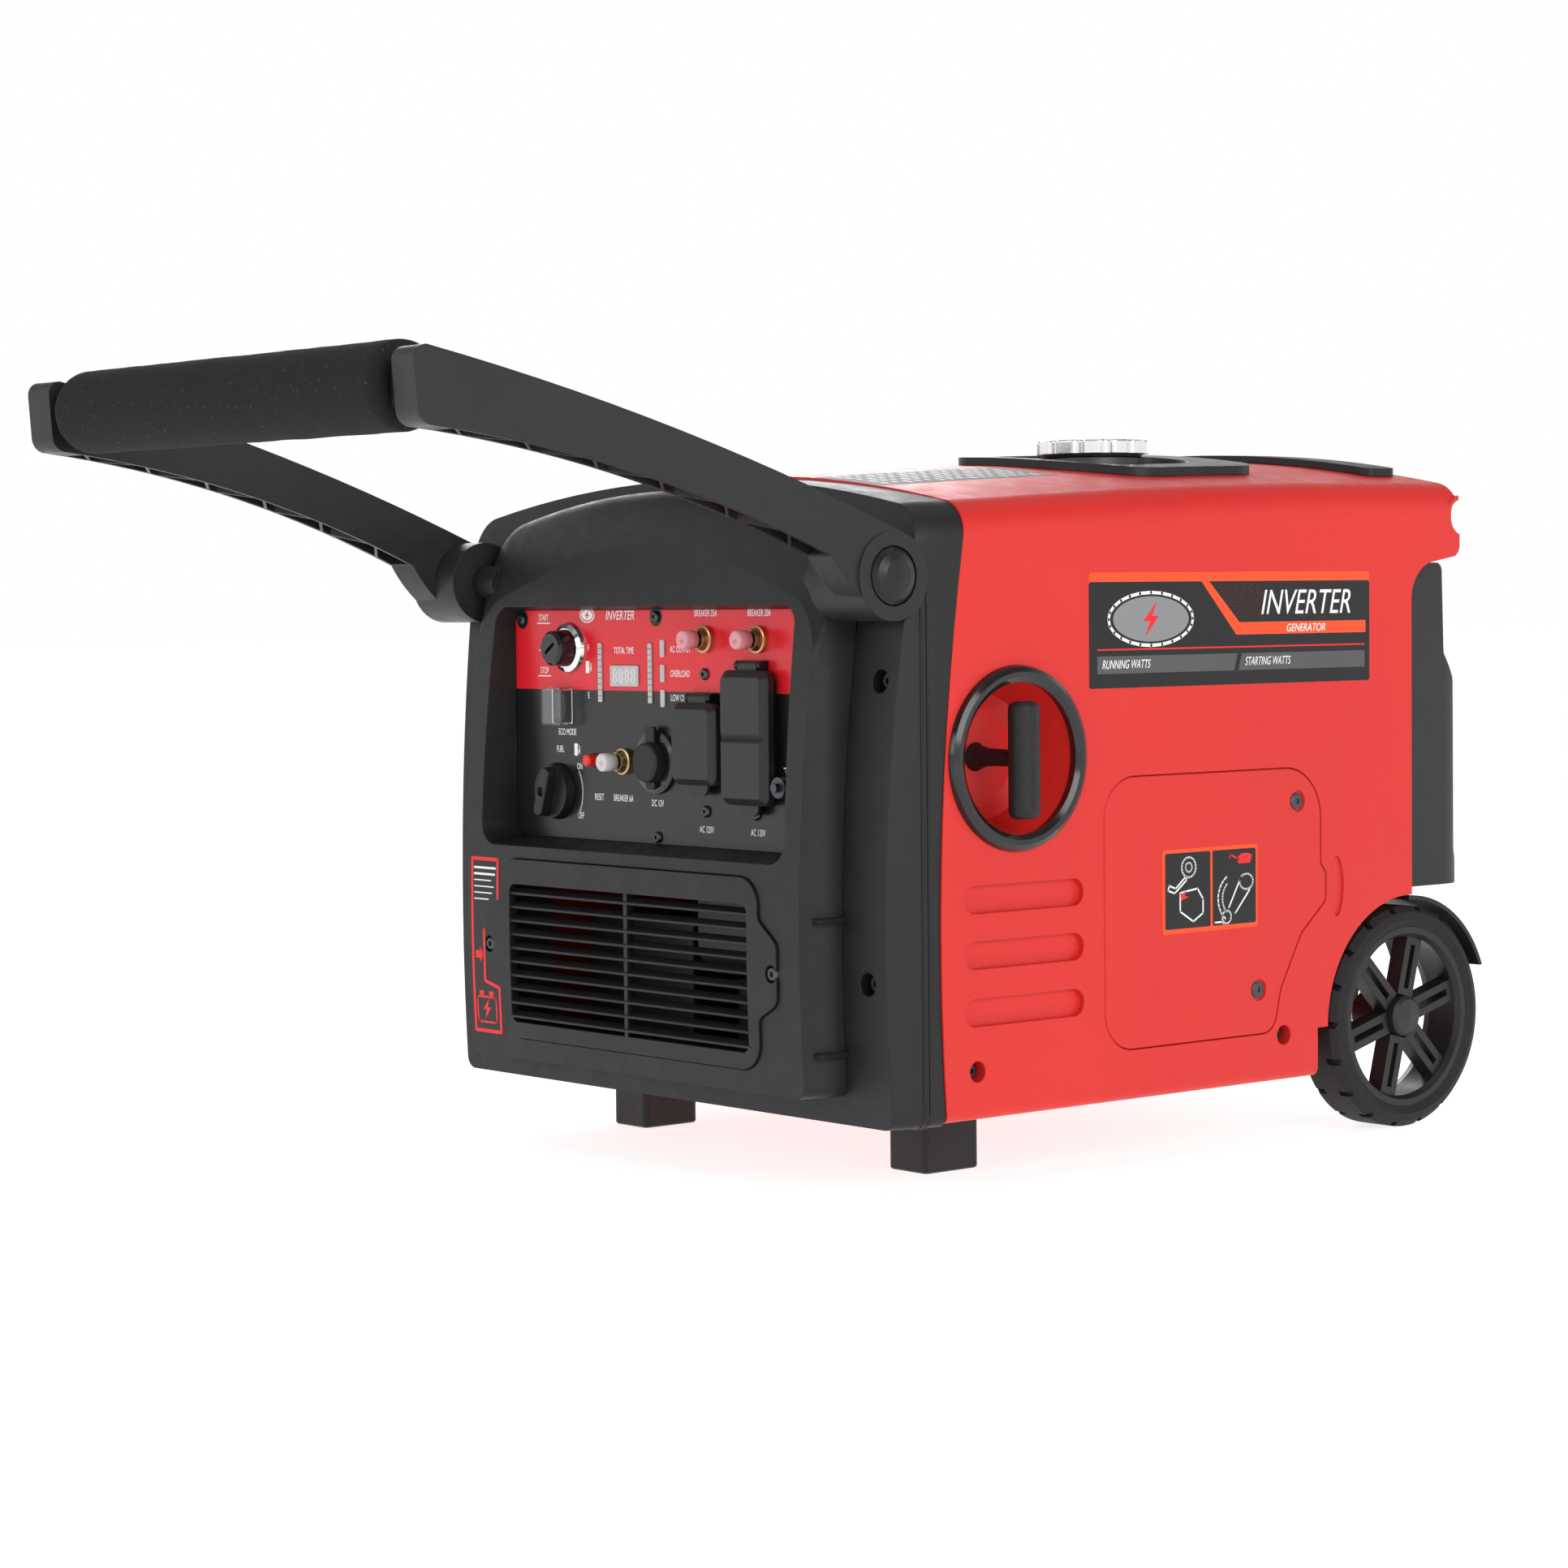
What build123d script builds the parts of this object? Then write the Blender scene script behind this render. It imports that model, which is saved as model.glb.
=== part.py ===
from build123d import *
import os

# Closed-frame inverter generator. Millimetres, +Z up, the control panel faces -Y and the
# recoil starter is on the +X side. The origin is on the floor, under the middle of the box
# that holds the machine with its handle swung out.

# ---- driving dimensions -------------------------------------------------------------
wheel_radius = 75.0
wheel_width = 38.0
axle_y = 354.0
half_width = 231.0
body_floor = 43.0
wall = 3.0
joint_gap = 0.4

tail_y = 406.0
side_rear_y = 356.0
tail_underside = 386.0
arch_radius = 83.0

front_curve_radius = 1500.0
front_curve_height = 150.0
bezel_nose_y = -138.0
frame_nose_y = -110.0
shell_front_y = -75.0
bezel_half_front = 171.0
bezel_half_back = 182.0

panel_y = -110.0
panel_thickness = 3.0
recess_half = 158.0
recess_floor = 200.0
recess_top = 361.0
recess_corner = 14.0
recess_middle = (recess_floor + recess_top) / 2

grille_middle_z = 132.0
grille_half = 134.0
grille_height = 119.0
slat_count = 10
slat_pitch = 9.1

starter_y = -11.0
starter_z = 263.0
starter_radius = 55.0

pivot_y = -112.0
pivot_z = 375.0
pin_radius = 6.0
pin_inner_x = 162.0
hub_radius = 27.0
hub_inner_x = 184.0
hub_outer_x = 232.0
grip_y = -419.0
grip_z = 482.0
grip_radius = 26.0
grip_half = 178.0
arm_lean = 3.3

cap_x = 95.0
cap_y = 190.0
cap_radius = 37.5

foot_x = 143.0
foot_y = -3.0

# Crown of the roof: place along the machine, height at the shoulders, height at the middle.
roof_stations = [(-80, 416, 439), (20, 421, 446), (130, 427, 451), (250, 431, 454.5), (tail_y, 433, 457)]

os.makedirs("parts", exist_ok=True)


def save(builder, name):
    """Label a finished piece and write it as its own STEP file."""
    builder.part.label = name
    export_step(builder.part, f"parts/{name}.step")


def station(y):
    """Front-view plane at a place along the machine, facing the user."""
    return Plane.XZ.offset(-y)


def side(x):
    """Side-view plane: its first axis is +Y, its second is +Z, and it faces +X."""
    return Plane.YZ.offset(x)


def crowned_outline(half, floor, shoulder, crest, corner, foot):
    """Front view of a casing: flat floor, upright sides, a crowned top and round corners."""
    with BuildSketch() as outline:
        with BuildLine():
            Polyline((-half, shoulder), (-half, floor), (half, floor), (half, shoulder))
            ThreePointArc((half, shoulder), (0, crest), (-half, shoulder))
        make_face()
        fillet(outline.vertices().group_by(Axis.Y)[-1], corner)
        fillet(outline.vertices().group_by(Axis.Y)[0], foot)
    return outline.sketch


def front_curve_y(nose, z):
    """Place of the gently bowed front at a height; it leans back above and below the nose."""
    return nose + (z - front_curve_height) ** 2 / (2 * front_curve_radius)


def bowed_cutter(nose, ahead):
    """Block that ends, or starts, at the bowed front surface, for trimming a casing."""
    low, high = 20.0, 480.0
    middle = (low + high) / 2
    far = -260.0 if ahead else 460.0
    with BuildPart() as cutter:
        with BuildSketch(Plane.YZ):
            with BuildLine():
                ThreePointArc(
                    (front_curve_y(nose, low), low),
                    (front_curve_y(nose, middle), middle),
                    (front_curve_y(nose, high), high),
                )
                Polyline(
                    (front_curve_y(nose, high), high),
                    (far, high),
                    (far, low),
                    (front_curve_y(nose, low), low),
                )
            make_face()
        extrude(amount=260, both=True)
    return cutter.part


def casing_block(margin, stations, floor, corner, foot):
    """Solid casing lofted through front-view sections, shrunk all round by a margin."""
    with BuildPart() as block:
        for y, half, shoulder, crest in stations:
            with BuildSketch(station(y)):
                add(
                    crowned_outline(
                        half - margin, floor + margin, shoulder - margin, crest - margin, corner, foot
                    )
                )
        loft()
    return block.part


# ---- red casing halves ----------------------------------------------------------------
casing_stations = [(y, half_width, shoulder, crest) for y, shoulder, crest in roof_stations]


def casing_side_view(margin):
    """Side view of the casing: round over the wheel, upright back and an overhanging tail."""
    back = side_rear_y - margin
    under = tail_underside + margin
    end = tail_y - margin
    with BuildSketch() as view:
        with BuildLine():
            Polyline((back, 20), (-140, 20), (-140, 480), (end, 480), (end, under + 8))
            RadiusArc((end, under + 8), (end - 8, under), 8)
            Line((end - 8, under), (back + 24, under - 3))
            RadiusArc((back + 24, under - 3), (back, under - 30), -26)
            Line((back, under - 30), (back, 20))
        make_face()
        with Locations((axle_y, wheel_radius)):
            Circle(arch_radius + margin, mode=Mode.SUBTRACT)
        with Locations((axle_y, wheel_radius - 60)):
            Rectangle(2 * (arch_radius + margin) + 20, 120, mode=Mode.SUBTRACT)
    return view.sketch


def casing_volume(margin, corner, foot):
    """The casing's whole outer form, or its cavity when a margin is given."""
    with BuildPart() as volume:
        add(casing_block(margin, casing_stations, body_floor, corner, foot))
        with BuildSketch(Plane.YZ):
            add(casing_side_view(margin))
        extrude(amount=260, both=True, mode=Mode.INTERSECT)
    return volume.part


def rounded_plate(plane, outline, radii, depth):
    """Flat plate from a filleted outline, standing on a plane and growing along its normal."""
    with BuildPart() as plate:
        with BuildSketch(plane):
            with BuildLine():
                FilletPolyline(*outline, radius=radii, close=True)
            make_face()
        extrude(amount=depth)
    return plate.part


def turned(axis, profile):
    """Solid of revolution: profile points are (distance along the axis, radius)."""
    with BuildPart() as spun:
        with BuildSketch(Plane(axis.position, x_dir=axis.direction, z_dir=turning_normal(axis))):
            with BuildLine():
                Polyline(*profile, close=True)
            make_face()
        revolve(axis=axis)
    return spun.part


def turning_normal(axis):
    """A direction square to a turning axis, which sets the plane its profile is drawn on."""
    return (0, 1, 0) if abs(axis.direction.Y) < 0.5 else (1, 0, 0)


def along_x(y, z, x=0):
    return Axis((x, y, z), (1, 0, 0))


def along_y(x, z, y=0):
    return Axis((x, y, z), (0, 1, 0))


def along_z(x, y, z=0):
    return Axis((x, y, z), (0, 0, 1))


# ---- features on the casing's sides ---------------------------------------------------
slot_heights = (109, 144, 178)
slot_depth = 4.0
finger_groove_z = 413.0
finger_groove_radius = 12.0
door_outline = [
    (63, 75), (63, 248.5), (265, 248.5), (265, 184), (270, 178),
    (270, 159), (246, 139), (226, 104), (219, 75),
]
door_radii = [25, 27, 34, 4, 4, 8, 16, 14, 14]
door_thickness = 2.6
door_ledge = 6.0
door_screws = [(242, 226), (204, 104.5)]
casing_screws = [(-46, 73), (228, 73)]
dish_rim = 49.0
dish_depth = 38.0


def screw_well(x_out, y, z, sign):
    """Cup moulded into a side wall, which a casing screw sits in."""
    return turned(along_x(y, z), [(sign * (x_out - 12), 0), (sign * (x_out - 12), 9.5), (sign * x_out, 9.5),
                                  (sign * x_out, 0)])


def side_details(shell_part, sign):
    """Screw wells and moulded grip slots that both casing halves carry."""
    outside = half_width
    with BuildPart() as shell:
        add(shell_part)
        for y, z in casing_screws:
            add(screw_well(outside - 0.5, y, z, sign))
        for y, z in casing_screws:
            add(
                turned(along_x(y, z), [(sign * (outside - 9), 0), (sign * (outside - 9), 6.5),
                                       (sign * (outside + 2), 6.5), (sign * (outside + 2), 0)]),
                mode=Mode.SUBTRACT,
            )
        with BuildSketch(side(sign * (outside - 20))):
            with Locations(*casing_screws):
                Circle(2.3)
        extrude(amount=sign * 20, mode=Mode.SUBTRACT)
        for length, height, depth, mode in (
            (106, 22, slot_depth + 2.5, Mode.ADD),
            (101, 17, slot_depth, Mode.SUBTRACT),
        ):
            with BuildSketch(side(sign * (outside - depth))):
                with Locations(*[(-5.5, z) for z in slot_heights]):
                    SlotOverall(length, height)
            extrude(amount=sign * (depth - 0.5 if mode == Mode.ADD else depth + 1), mode=mode)
    return shell.part


def casing_half(sign):
    """One hollow moulded half of the red casing, split on the middle plane."""
    with BuildPart() as shell:
        add(casing_volume(0, 24, 6))
        add(casing_volume(wall, 22, 5), mode=Mode.SUBTRACT)
        add(bowed_cutter(shell_front_y, ahead=True), mode=Mode.SUBTRACT)
        with Locations((-sign * 150, 130, 240)):
            Box(300, 700, 600, mode=Mode.SUBTRACT)
        with BuildSketch(side(0)):
            with Locations((tail_y + 3, finger_groove_z)):
                Circle(finger_groove_radius + wall)
            with Locations((tail_y + 30, finger_groove_z)):
                Rectangle(60, 60, mode=Mode.SUBTRACT)
        extrude(amount=sign * (half_width - 1))
        with BuildSketch(side(0)):
            with Locations((tail_y + 3, finger_groove_z)):
                Circle(finger_groove_radius)
        extrude(amount=sign * 260, mode=Mode.SUBTRACT)
        with BuildSketch(Plane.XY.offset(400)):
            with Locations((cap_x, cap_y)):
                RectangleRounded(120, 96, 30)
        extrude(amount=80, mode=Mode.SUBTRACT)
        with Locations((0, side_rear_y, 266)):
            Box(370, 20, 176, mode=Mode.SUBTRACT)
    return side_details(shell.part, sign)


# ---- right casing half: starter dish, door opening, thumb dip -------------------------
dish_profile = [
    (half_width - 1, dish_rim + 3.5), (half_width - 1, dish_rim), (half_width - dish_depth + 6, dish_rim - 10),
    (half_width - dish_depth, dish_rim - 18), (half_width - dish_depth, 8),
    (half_width - dish_depth - 3, 8), (half_width - dish_depth - 3, dish_rim - 16),
    (half_width - dish_depth + 3, dish_rim - 6),
]
with BuildPart() as right_shell:
    add(casing_half(1))
    with BuildSketch(side(half_width - 20)):
        with Locations((starter_y, starter_z)):
            Circle(dish_rim + 2)
    extrude(amount=40, mode=Mode.SUBTRACT)
    add(turned(along_x(starter_y, starter_z), dish_profile))
    with BuildSketch(side(half_width - 6.5)):
        with BuildLine():
            FilletPolyline(*door_outline, radius=door_radii, close=True)
        make_face()
        offset(amount=3, kind=Kind.INTERSECTION)
    extrude(amount=5)
    add(
        rounded_plate(side(half_width - door_thickness - 0.4), door_outline, door_radii, 10),
        mode=Mode.SUBTRACT,
    )
    with BuildSketch(side(half_width - 12)):
        with BuildLine():
            FilletPolyline(*door_outline, radius=door_radii, close=True)
        make_face()
        offset(amount=-door_ledge, kind=Kind.INTERSECTION)
    extrude(amount=20, mode=Mode.SUBTRACT)
    for (y, z), tab_turn, tab_length in zip(door_screws, (0, -90), (20, 27)):
        with BuildSketch(side(half_width - 14)):
            with Locations((y, z)):
                Circle(8)
                Rectangle(tab_length, 10, align=(Align.MIN, Align.CENTER), rotation=tab_turn)
        extrude(amount=14 - door_thickness - 0.4)
    with BuildSketch(side(half_width + 1)):
        with Locations((280, 168)):
            Ellipse(7, 20)
    extrude(amount=-2.6, mode=Mode.SUBTRACT)
save(right_shell, "right_shell")

# ---- left casing half: cooling louvres ------------------------------------------------
louvre_count = 9
with BuildPart() as left_shell:
    add(casing_half(-1))
    with BuildSketch(side(-half_width - 5)):
        with Locations((160, 250)):
            with GridLocations(0, 13, 1, louvre_count):
                SlotOverall(150, 6)
    extrude(amount=12, mode=Mode.SUBTRACT)
save(left_shell, "left_shell")

# ---- oil service door -----------------------------------------------------------------
with BuildPart() as side_door:
    with BuildSketch(side(half_width - door_thickness)):
        with BuildLine():
            FilletPolyline(*door_outline, radius=door_radii, close=True)
        make_face()
        offset(amount=-0.6, kind=Kind.INTERSECTION)
    extrude(amount=door_thickness)
    fillet(side_door.faces().sort_by(Axis.X)[-1].edges(), 1.0)
    with BuildSketch(side(half_width + 1)):
        with Locations(*door_screws):
            Circle(7)
    extrude(amount=-2.4, mode=Mode.SUBTRACT)
    with BuildSketch(side(half_width + 1)):
        with Locations(*door_screws):
            Circle(2.7)
    extrude(amount=-20, mode=Mode.SUBTRACT)
save(side_door, "side_door")


# ---- black front frame ----------------------------------------------------------------
frame_stations = [
    (-130, 214, 405, 428),
    (-108, 220, 411, 434),
    (-88, 227, 414.5, 438.5),
    (-70, 230.5, 416, 439.5),
    (-40, half_width, 418, 441),
]
frame_floor = 41.0
frame_wall = 3.5
column_screws = [(207, 312), (203, 129)]
column_well = 10.0


def frame_volume(margin, nose):
    """The frame's outer form behind a bowed front, or its cavity when a margin is given."""
    with BuildPart() as volume:
        add(casing_block(margin, frame_stations, frame_floor, 26, 8))
        add(bowed_cutter(nose, ahead=True), mode=Mode.SUBTRACT)
        add(bowed_cutter(shell_front_y - joint_gap, ahead=False), mode=Mode.SUBTRACT)
    return volume.part


with BuildPart() as front_frame:
    add(frame_volume(0, frame_nose_y))
    add(casing_block(frame_wall, frame_stations, frame_floor, 24, 6).cut(
        bowed_cutter(frame_nose_y + frame_wall, ahead=True)), mode=Mode.SUBTRACT)
    with BuildSketch(station(-60)):
        add(crowned_outline(178, 70, 396, 418, 22, 8))
    extrude(amount=120, mode=Mode.SUBTRACT)
    for sign in (1, -1):
        with BuildSketch(side(sign * (hub_inner_x - 5))):
            with Locations((pivot_y, pivot_z)):
                Circle(hub_radius + 7)
                Rectangle(2 * hub_radius + 14, 50, align=(Align.MAX, Align.MIN), mode=Mode.SUBTRACT)
        extrude(amount=sign * 43)
    add(bowed_cutter(frame_nose_y - 0.01, ahead=True), mode=Mode.SUBTRACT)
    for sign in (1, -1):
        with BuildSketch(side(sign * (hub_inner_x - 1.0))):
            with Locations((pivot_y, pivot_z)):
                Circle(hub_radius + 3.5)
            with BuildLine():
                FilletPolyline((pivot_y - 40, pivot_z), (pivot_y + 26, pivot_z), (pivot_y + 10, pivot_z + 38),
                               (pivot_y - 40, pivot_z + 38), radius=8, close=True)
            make_face()
        extrude(amount=sign * 60, mode=Mode.SUBTRACT)
        for x, z in column_screws:
            face_y = front_curve_y(frame_nose_y, z)
            with BuildSketch(station(face_y + column_well + 3)):
                with Locations((sign * x, z)):
                    Circle(9.5)
            extrude(amount=column_well + 2)
            with BuildSketch(station(face_y + column_well)):
                with Locations((sign * x, z)):
                    Circle(7.2)
            extrude(amount=column_well + 10, mode=Mode.SUBTRACT)
            with BuildSketch(station(face_y + column_well + 10)):
                with Locations((sign * x, z)):
                    Circle(2.3)
            extrude(amount=column_well + 10, mode=Mode.SUBTRACT)
        with BuildSketch(side(sign * 150)):
            with Locations((pivot_y, pivot_z)):
                Circle(pin_radius)
        extrude(amount=sign * 60, mode=Mode.SUBTRACT)
save(front_frame, "front_frame")

# ---- bezel ------------------------------------------------------------------------------
bezel_floor = 58.0
bezel_wall = 3.0
bezel_back_y = -98.0
bezel_stations = [
    (bezel_back_y, bezel_half_back, 408, 432),
    (-105, 181.0, 403, 427),
    (-112, 180.0, 391, 415),
    (-119, 178.5, 370, 393),
    (-145, bezel_half_front, 325, 345),
]


def bezel_volume(margin, nose):
    with BuildPart() as volume:
        add(casing_block(margin, bezel_stations, bezel_floor, 30, 8))
        add(bowed_cutter(nose, ahead=True), mode=Mode.SUBTRACT)
    return volume.part


grille_low = grille_middle_z - grille_height / 2
grille_high = grille_middle_z + grille_height / 2
ear_reach = 18.0
ear_half_height = 27.0
ear_screw_x = 147.0
grille_outline = [
    (-grille_half, grille_low), (grille_half, grille_low),
    (grille_half, grille_middle_z - ear_half_height), (grille_half + ear_reach, grille_middle_z - 17),
    (grille_half + ear_reach, grille_middle_z + 20), (grille_half, grille_middle_z + 34),
    (grille_half, grille_high), (-grille_half, grille_high),
    (-grille_half, grille_middle_z + 34), (-grille_half - ear_reach, grille_middle_z + 20),
    (-grille_half - ear_reach, grille_middle_z - 17), (-grille_half, grille_middle_z - ear_half_height),
]
grille_radii = [18, 18, 6, 9, 9, 6, 18, 18, 6, 9, 9, 6]


def grille_shape(grow):
    """Front view of the battery cover: a round-cornered frame with a screw ear each side."""
    with BuildSketch() as shape:
        with BuildLine():
            FilletPolyline(*grille_outline, radius=grille_radii, close=True)
        make_face()
        if grow:
            offset(amount=grow, kind=Kind.INTERSECTION)
    return shape.sketch


panel_screws = [(-145, 350), (0, 351.5), (145, 350), (0, 209.5), (50, 315), (50, 228), (100, 228)]

with BuildPart() as front_bezel:
    add(bezel_volume(0, bezel_nose_y))
    add(bezel_volume(bezel_wall, bezel_nose_y + bezel_wall), mode=Mode.SUBTRACT)
    with BuildSketch(station(panel_y + panel_thickness + 3)):
        with Locations((0, recess_middle)):
            RectangleRounded(2 * recess_half + 8, recess_top - recess_floor + 8, recess_corner + 4)
    extrude(amount=60)
    with BuildSketch(station(-100)):
        with Locations((0, grille_middle_z)):
            add(grille_shape(4).moved(Location((0, -grille_middle_z, 0))))
    extrude(amount=60)
    add(bowed_cutter(bezel_nose_y, ahead=True), mode=Mode.SUBTRACT)
    with BuildSketch(station(panel_y)):
        with Locations((0, recess_middle)):
            RectangleRounded(2 * recess_half - 10, recess_top - recess_floor - 10, recess_corner - 4)
    extrude(amount=60, taper=-10, mode=Mode.SUBTRACT)
    with BuildSketch(station(-80)):
        with Locations((0, recess_middle)):
            RectangleRounded(2 * recess_half - 26, recess_top - recess_floor - 26, 8)
    extrude(amount=60, mode=Mode.SUBTRACT)
    with BuildSketch(station(panel_y + panel_thickness)):
        with Locations((0, recess_middle)):
            RectangleRounded(2 * recess_half - 9.4, recess_top - recess_floor - 9.4, recess_corner - 4)
    extrude(amount=panel_thickness, mode=Mode.SUBTRACT)
    with BuildSketch(station(bezel_nose_y + 6)):
        add(grille_shape(0.6))
    extrude(amount=20, mode=Mode.SUBTRACT)
    with BuildSketch(station(-90)):
        with Locations((0, grille_middle_z)):
            RectangleRounded(2 * grille_half - 12, grille_height - 12, 12)
    extrude(amount=60, mode=Mode.SUBTRACT)
    for sign in (1, -1):
        for z in (85, 167):
            with BuildSketch(side(sign * 170)):
                with Locations((-113, z)):
                    SlotOverall(34, 3.4)
            extrude(amount=sign * 13.5)
        for x, z in [(sign * ear_screw_x, grille_middle_z + 1.5)]:
            with BuildSketch(station(bezel_nose_y + 10)):
                with Locations((x, z)):
                    Circle(6)
            extrude(amount=-14)
            with BuildSketch(station(-100)):
                with Locations((x, z)):
                    Circle(2.2)
            extrude(amount=60, mode=Mode.SUBTRACT)
    with BuildSketch(station(-90)):
        with Locations(*panel_screws):
            Circle(2.0)
    extrude(amount=25, mode=Mode.SUBTRACT)
    for sign in (1, -1):
        with BuildSketch(side(sign * pin_inner_x)):
            with Locations((pivot_y, pivot_z)):
                Circle(pin_radius + 5)
        extrude(amount=sign * (hub_inner_x - pin_inner_x - joint_gap))
    add(front_frame.part, mode=Mode.SUBTRACT)
    for sign in (1, -1):
        with BuildSketch(side(sign * (pin_inner_x + 4))):
            with Locations((pivot_y, pivot_z)):
                Circle(pin_radius + 0.02)
        extrude(amount=sign * 30, mode=Mode.SUBTRACT)
save(front_bezel, "front_bezel")

# ---- slatted battery cover ----------------------------------------------------------------
cover_nose_y = bezel_nose_y - 1.6
cover_back_y = bezel_nose_y + 5.7
slat_half = 124.0
slat_window = 92.0
slat_tilt = 28.0
with BuildPart() as battery_cover:
    with BuildSketch(station(cover_back_y)):
        add(grille_shape(0))
    extrude(amount=14)
    with BuildSketch(station(cover_back_y + 1)):
        with Locations((0, grille_middle_z - 3)):
            RectangleRounded(2 * slat_half, slat_window, 6)
    extrude(amount=20, mode=Mode.SUBTRACT)
    add(bowed_cutter(cover_nose_y, ahead=True), mode=Mode.SUBTRACT)
    for row in range(slat_count):
        slat_z = grille_middle_z - 3 + (row - (slat_count - 1) / 2) * slat_pitch
        with BuildSketch(side(-slat_half - 1)):
            with Locations((cover_back_y - 3.4, slat_z)):
                Rectangle(6.4, 1.8, rotation=slat_tilt)
        extrude(amount=2 * slat_half + 2)
    with BuildSketch(station(cover_back_y)):
        with Locations((0, grille_middle_z - 3)):
            Rectangle(3.5, slat_window + 2)
    extrude(amount=5.6)
    for sign in (1, -1):
        with BuildSketch(station(cover_back_y - 4)):
            with Locations((sign * ear_screw_x, grille_middle_z + 1.5)):
                Circle(5.5)
        extrude(amount=20, mode=Mode.SUBTRACT)
        with BuildSketch(station(cover_back_y + 1)):
            with Locations((sign * ear_screw_x, grille_middle_z + 1.5)):
                Circle(2.7)
        extrude(amount=20, mode=Mode.SUBTRACT)
save(battery_cover, "battery_cover")

# ---- control panel --------------------------------------------------------------------------
panel_half = recess_half - 5.2
panel_height = recess_top - recess_floor - 10.4
panel_front = station(panel_y)
panel_back = station(panel_y + panel_thickness)
ignition_x, ignition_z = -93.0, 331.0
eco_x, eco_z = -101.0, 292.5
knob_x, knob_z = -107.0, 236.0
reset_x, reset_z = -67.0, 257.5
dc_x, dc_z = 0.0, 258.0
breaker_places = {"25a": (51, 337), "20a": (104, 337), "6a": (-34, 257.5)}
single_x, single_z = 50.0, 271.0
duplex_x, duplex_z = 100.0, 276.0
ground_x, ground_z = 132.0, 246.0
bar_places = [(-59, 315), (-6, 315)]
display_place = (-33, 313)
lamp_places = [(7, 331), (7, 315), (7, 299)]


with BuildPart() as control_panel:
    with BuildSketch(panel_back):
        with Locations((0, recess_middle)):
            RectangleRounded(2 * panel_half, panel_height, recess_corner - 4.4)
    extrude(amount=panel_thickness)
    for places, radius in (
        (panel_screws, 2.2),
        ([(ignition_x, ignition_z)], 9.0),
        ([(knob_x, knob_z)], 5.0),
        ([(reset_x, reset_z)], 4.6),
        ([(dc_x, dc_z)], 14.5),
        (list(breaker_places.values()), 6.0),
        ([(ground_x, ground_z)], 3.1),
        (lamp_places, 1.6),
    ):
        with BuildSketch(panel_back):
            with Locations(*places):
                Circle(radius)
        extrude(amount=panel_thickness, mode=Mode.SUBTRACT)
    for places, width, height in (
        ([(eco_x, eco_z)], 19, 22),
        (bar_places, 4.4, 39),
        ([display_place], 30, 14),
        ([(single_x, single_z)], 36, 42),
        ([(duplex_x, duplex_z)], 36, 74),
    ):
        with BuildSketch(panel_back):
            with Locations(*places):
                RectangleRounded(width, height, min(width, height) / 8)
        extrude(amount=panel_thickness, mode=Mode.SUBTRACT)
save(control_panel, "control_panel")

# ---- panel devices --------------------------------------------------------------------------
def out_of_panel(x, z):
    """Axis of a device that points out of the panel towards the user."""
    return Axis((x, panel_y, z), (0, -1, 0))


device_gap = 0.3

# Chrome ring and body of the ignition switch; the barrel turns inside it.
with BuildPart() as ignition_ring:
    add(turned(out_of_panel(ignition_x, ignition_z), [
        (-22, 8.5), (0.2, 8.5), (0.2, 17), (2.6, 16), (4.2, 13), (4.2, 8.0), (-18, 8.0), (-18, 0), (-22, 0),
    ]))
save(ignition_ring, "ignition_ring")

with BuildPart() as ignition_barrel:
    add(turned(out_of_panel(ignition_x, ignition_z), [
        (-17.5, 0), (-17.5, 7.5), (5.0, 7.5), (5.0, 12.2), (14.5, 11.4), (16.4, 9.6), (16.4, 0),
    ]))
    with BuildSketch(station(panel_y - 17)):
        with Locations((ignition_x, ignition_z)):
            SlotOverall(12, 2.6, rotation=35)
    extrude(amount=-4, mode=Mode.SUBTRACT)
save(ignition_barrel, "ignition_barrel")

# Economy-mode rocker under a clear splash cover.
with BuildPart() as eco_rocker:
    with BuildSketch(side(eco_x - 5)):
        with BuildLine():
            Polyline(
                (panel_y + 12, eco_z - 8), (panel_y - 3.2, eco_z - 9), (panel_y - 1.4, eco_z),
                (panel_y - 3.2, eco_z + 9), (panel_y + 12, eco_z + 8), close=True,
            )
        make_face()
    extrude(amount=10)
    fillet(eco_rocker.edges().filter_by(Axis.X).sort_by(Axis.Y)[:2], 1.2)
save(eco_rocker, "eco_rocker")

eco_cover_wall = 1.2
with BuildPart() as eco_cover:
    with BuildSketch(station(panel_y - device_gap)):
        with Locations((eco_x, eco_z)):
            RectangleRounded(22, 25, 2.5)
    extrude(amount=9.5)
    with BuildSketch(station(panel_y + 1)):
        with Locations((eco_x, eco_z)):
            RectangleRounded(22 - 2 * eco_cover_wall, 25 - 2 * eco_cover_wall, 1.5)
    extrude(amount=9.5, mode=Mode.SUBTRACT)
save(eco_cover, "eco_cover")

# Fuel valve knob: a skirt with a raised wing across it.
with BuildPart() as fuel_knob:
    add(turned(out_of_panel(knob_x, knob_z), [
        (-14, 0), (-14, 4.7), (device_gap, 4.7), (device_gap, 19), (7, 17.6), (7, 0),
    ]))
    with BuildSketch(station(panel_y - 6)):
        with Locations((knob_x, knob_z)):
            SlotOverall(35, 11, rotation=72)
    extrude(amount=9, taper=6)
    fillet(fuel_knob.faces().sort_by(Axis.Y)[0].edges(), 1.2)
    with BuildSketch(station(panel_y - 16)):
        with Locations((knob_x, knob_z)):
            Circle(3.2)
    extrude(amount=-3, mode=Mode.SUBTRACT)
save(fuel_knob, "fuel_knob")

with BuildPart() as reset_button:
    add(turned(out_of_panel(reset_x, reset_z), [(-9, 0), (-9, 4.2), (6.2, 4.2), (7.4, 3.4), (8, 1.8), (8.2, 0)]))
save(reset_button, "reset_button")

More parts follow.
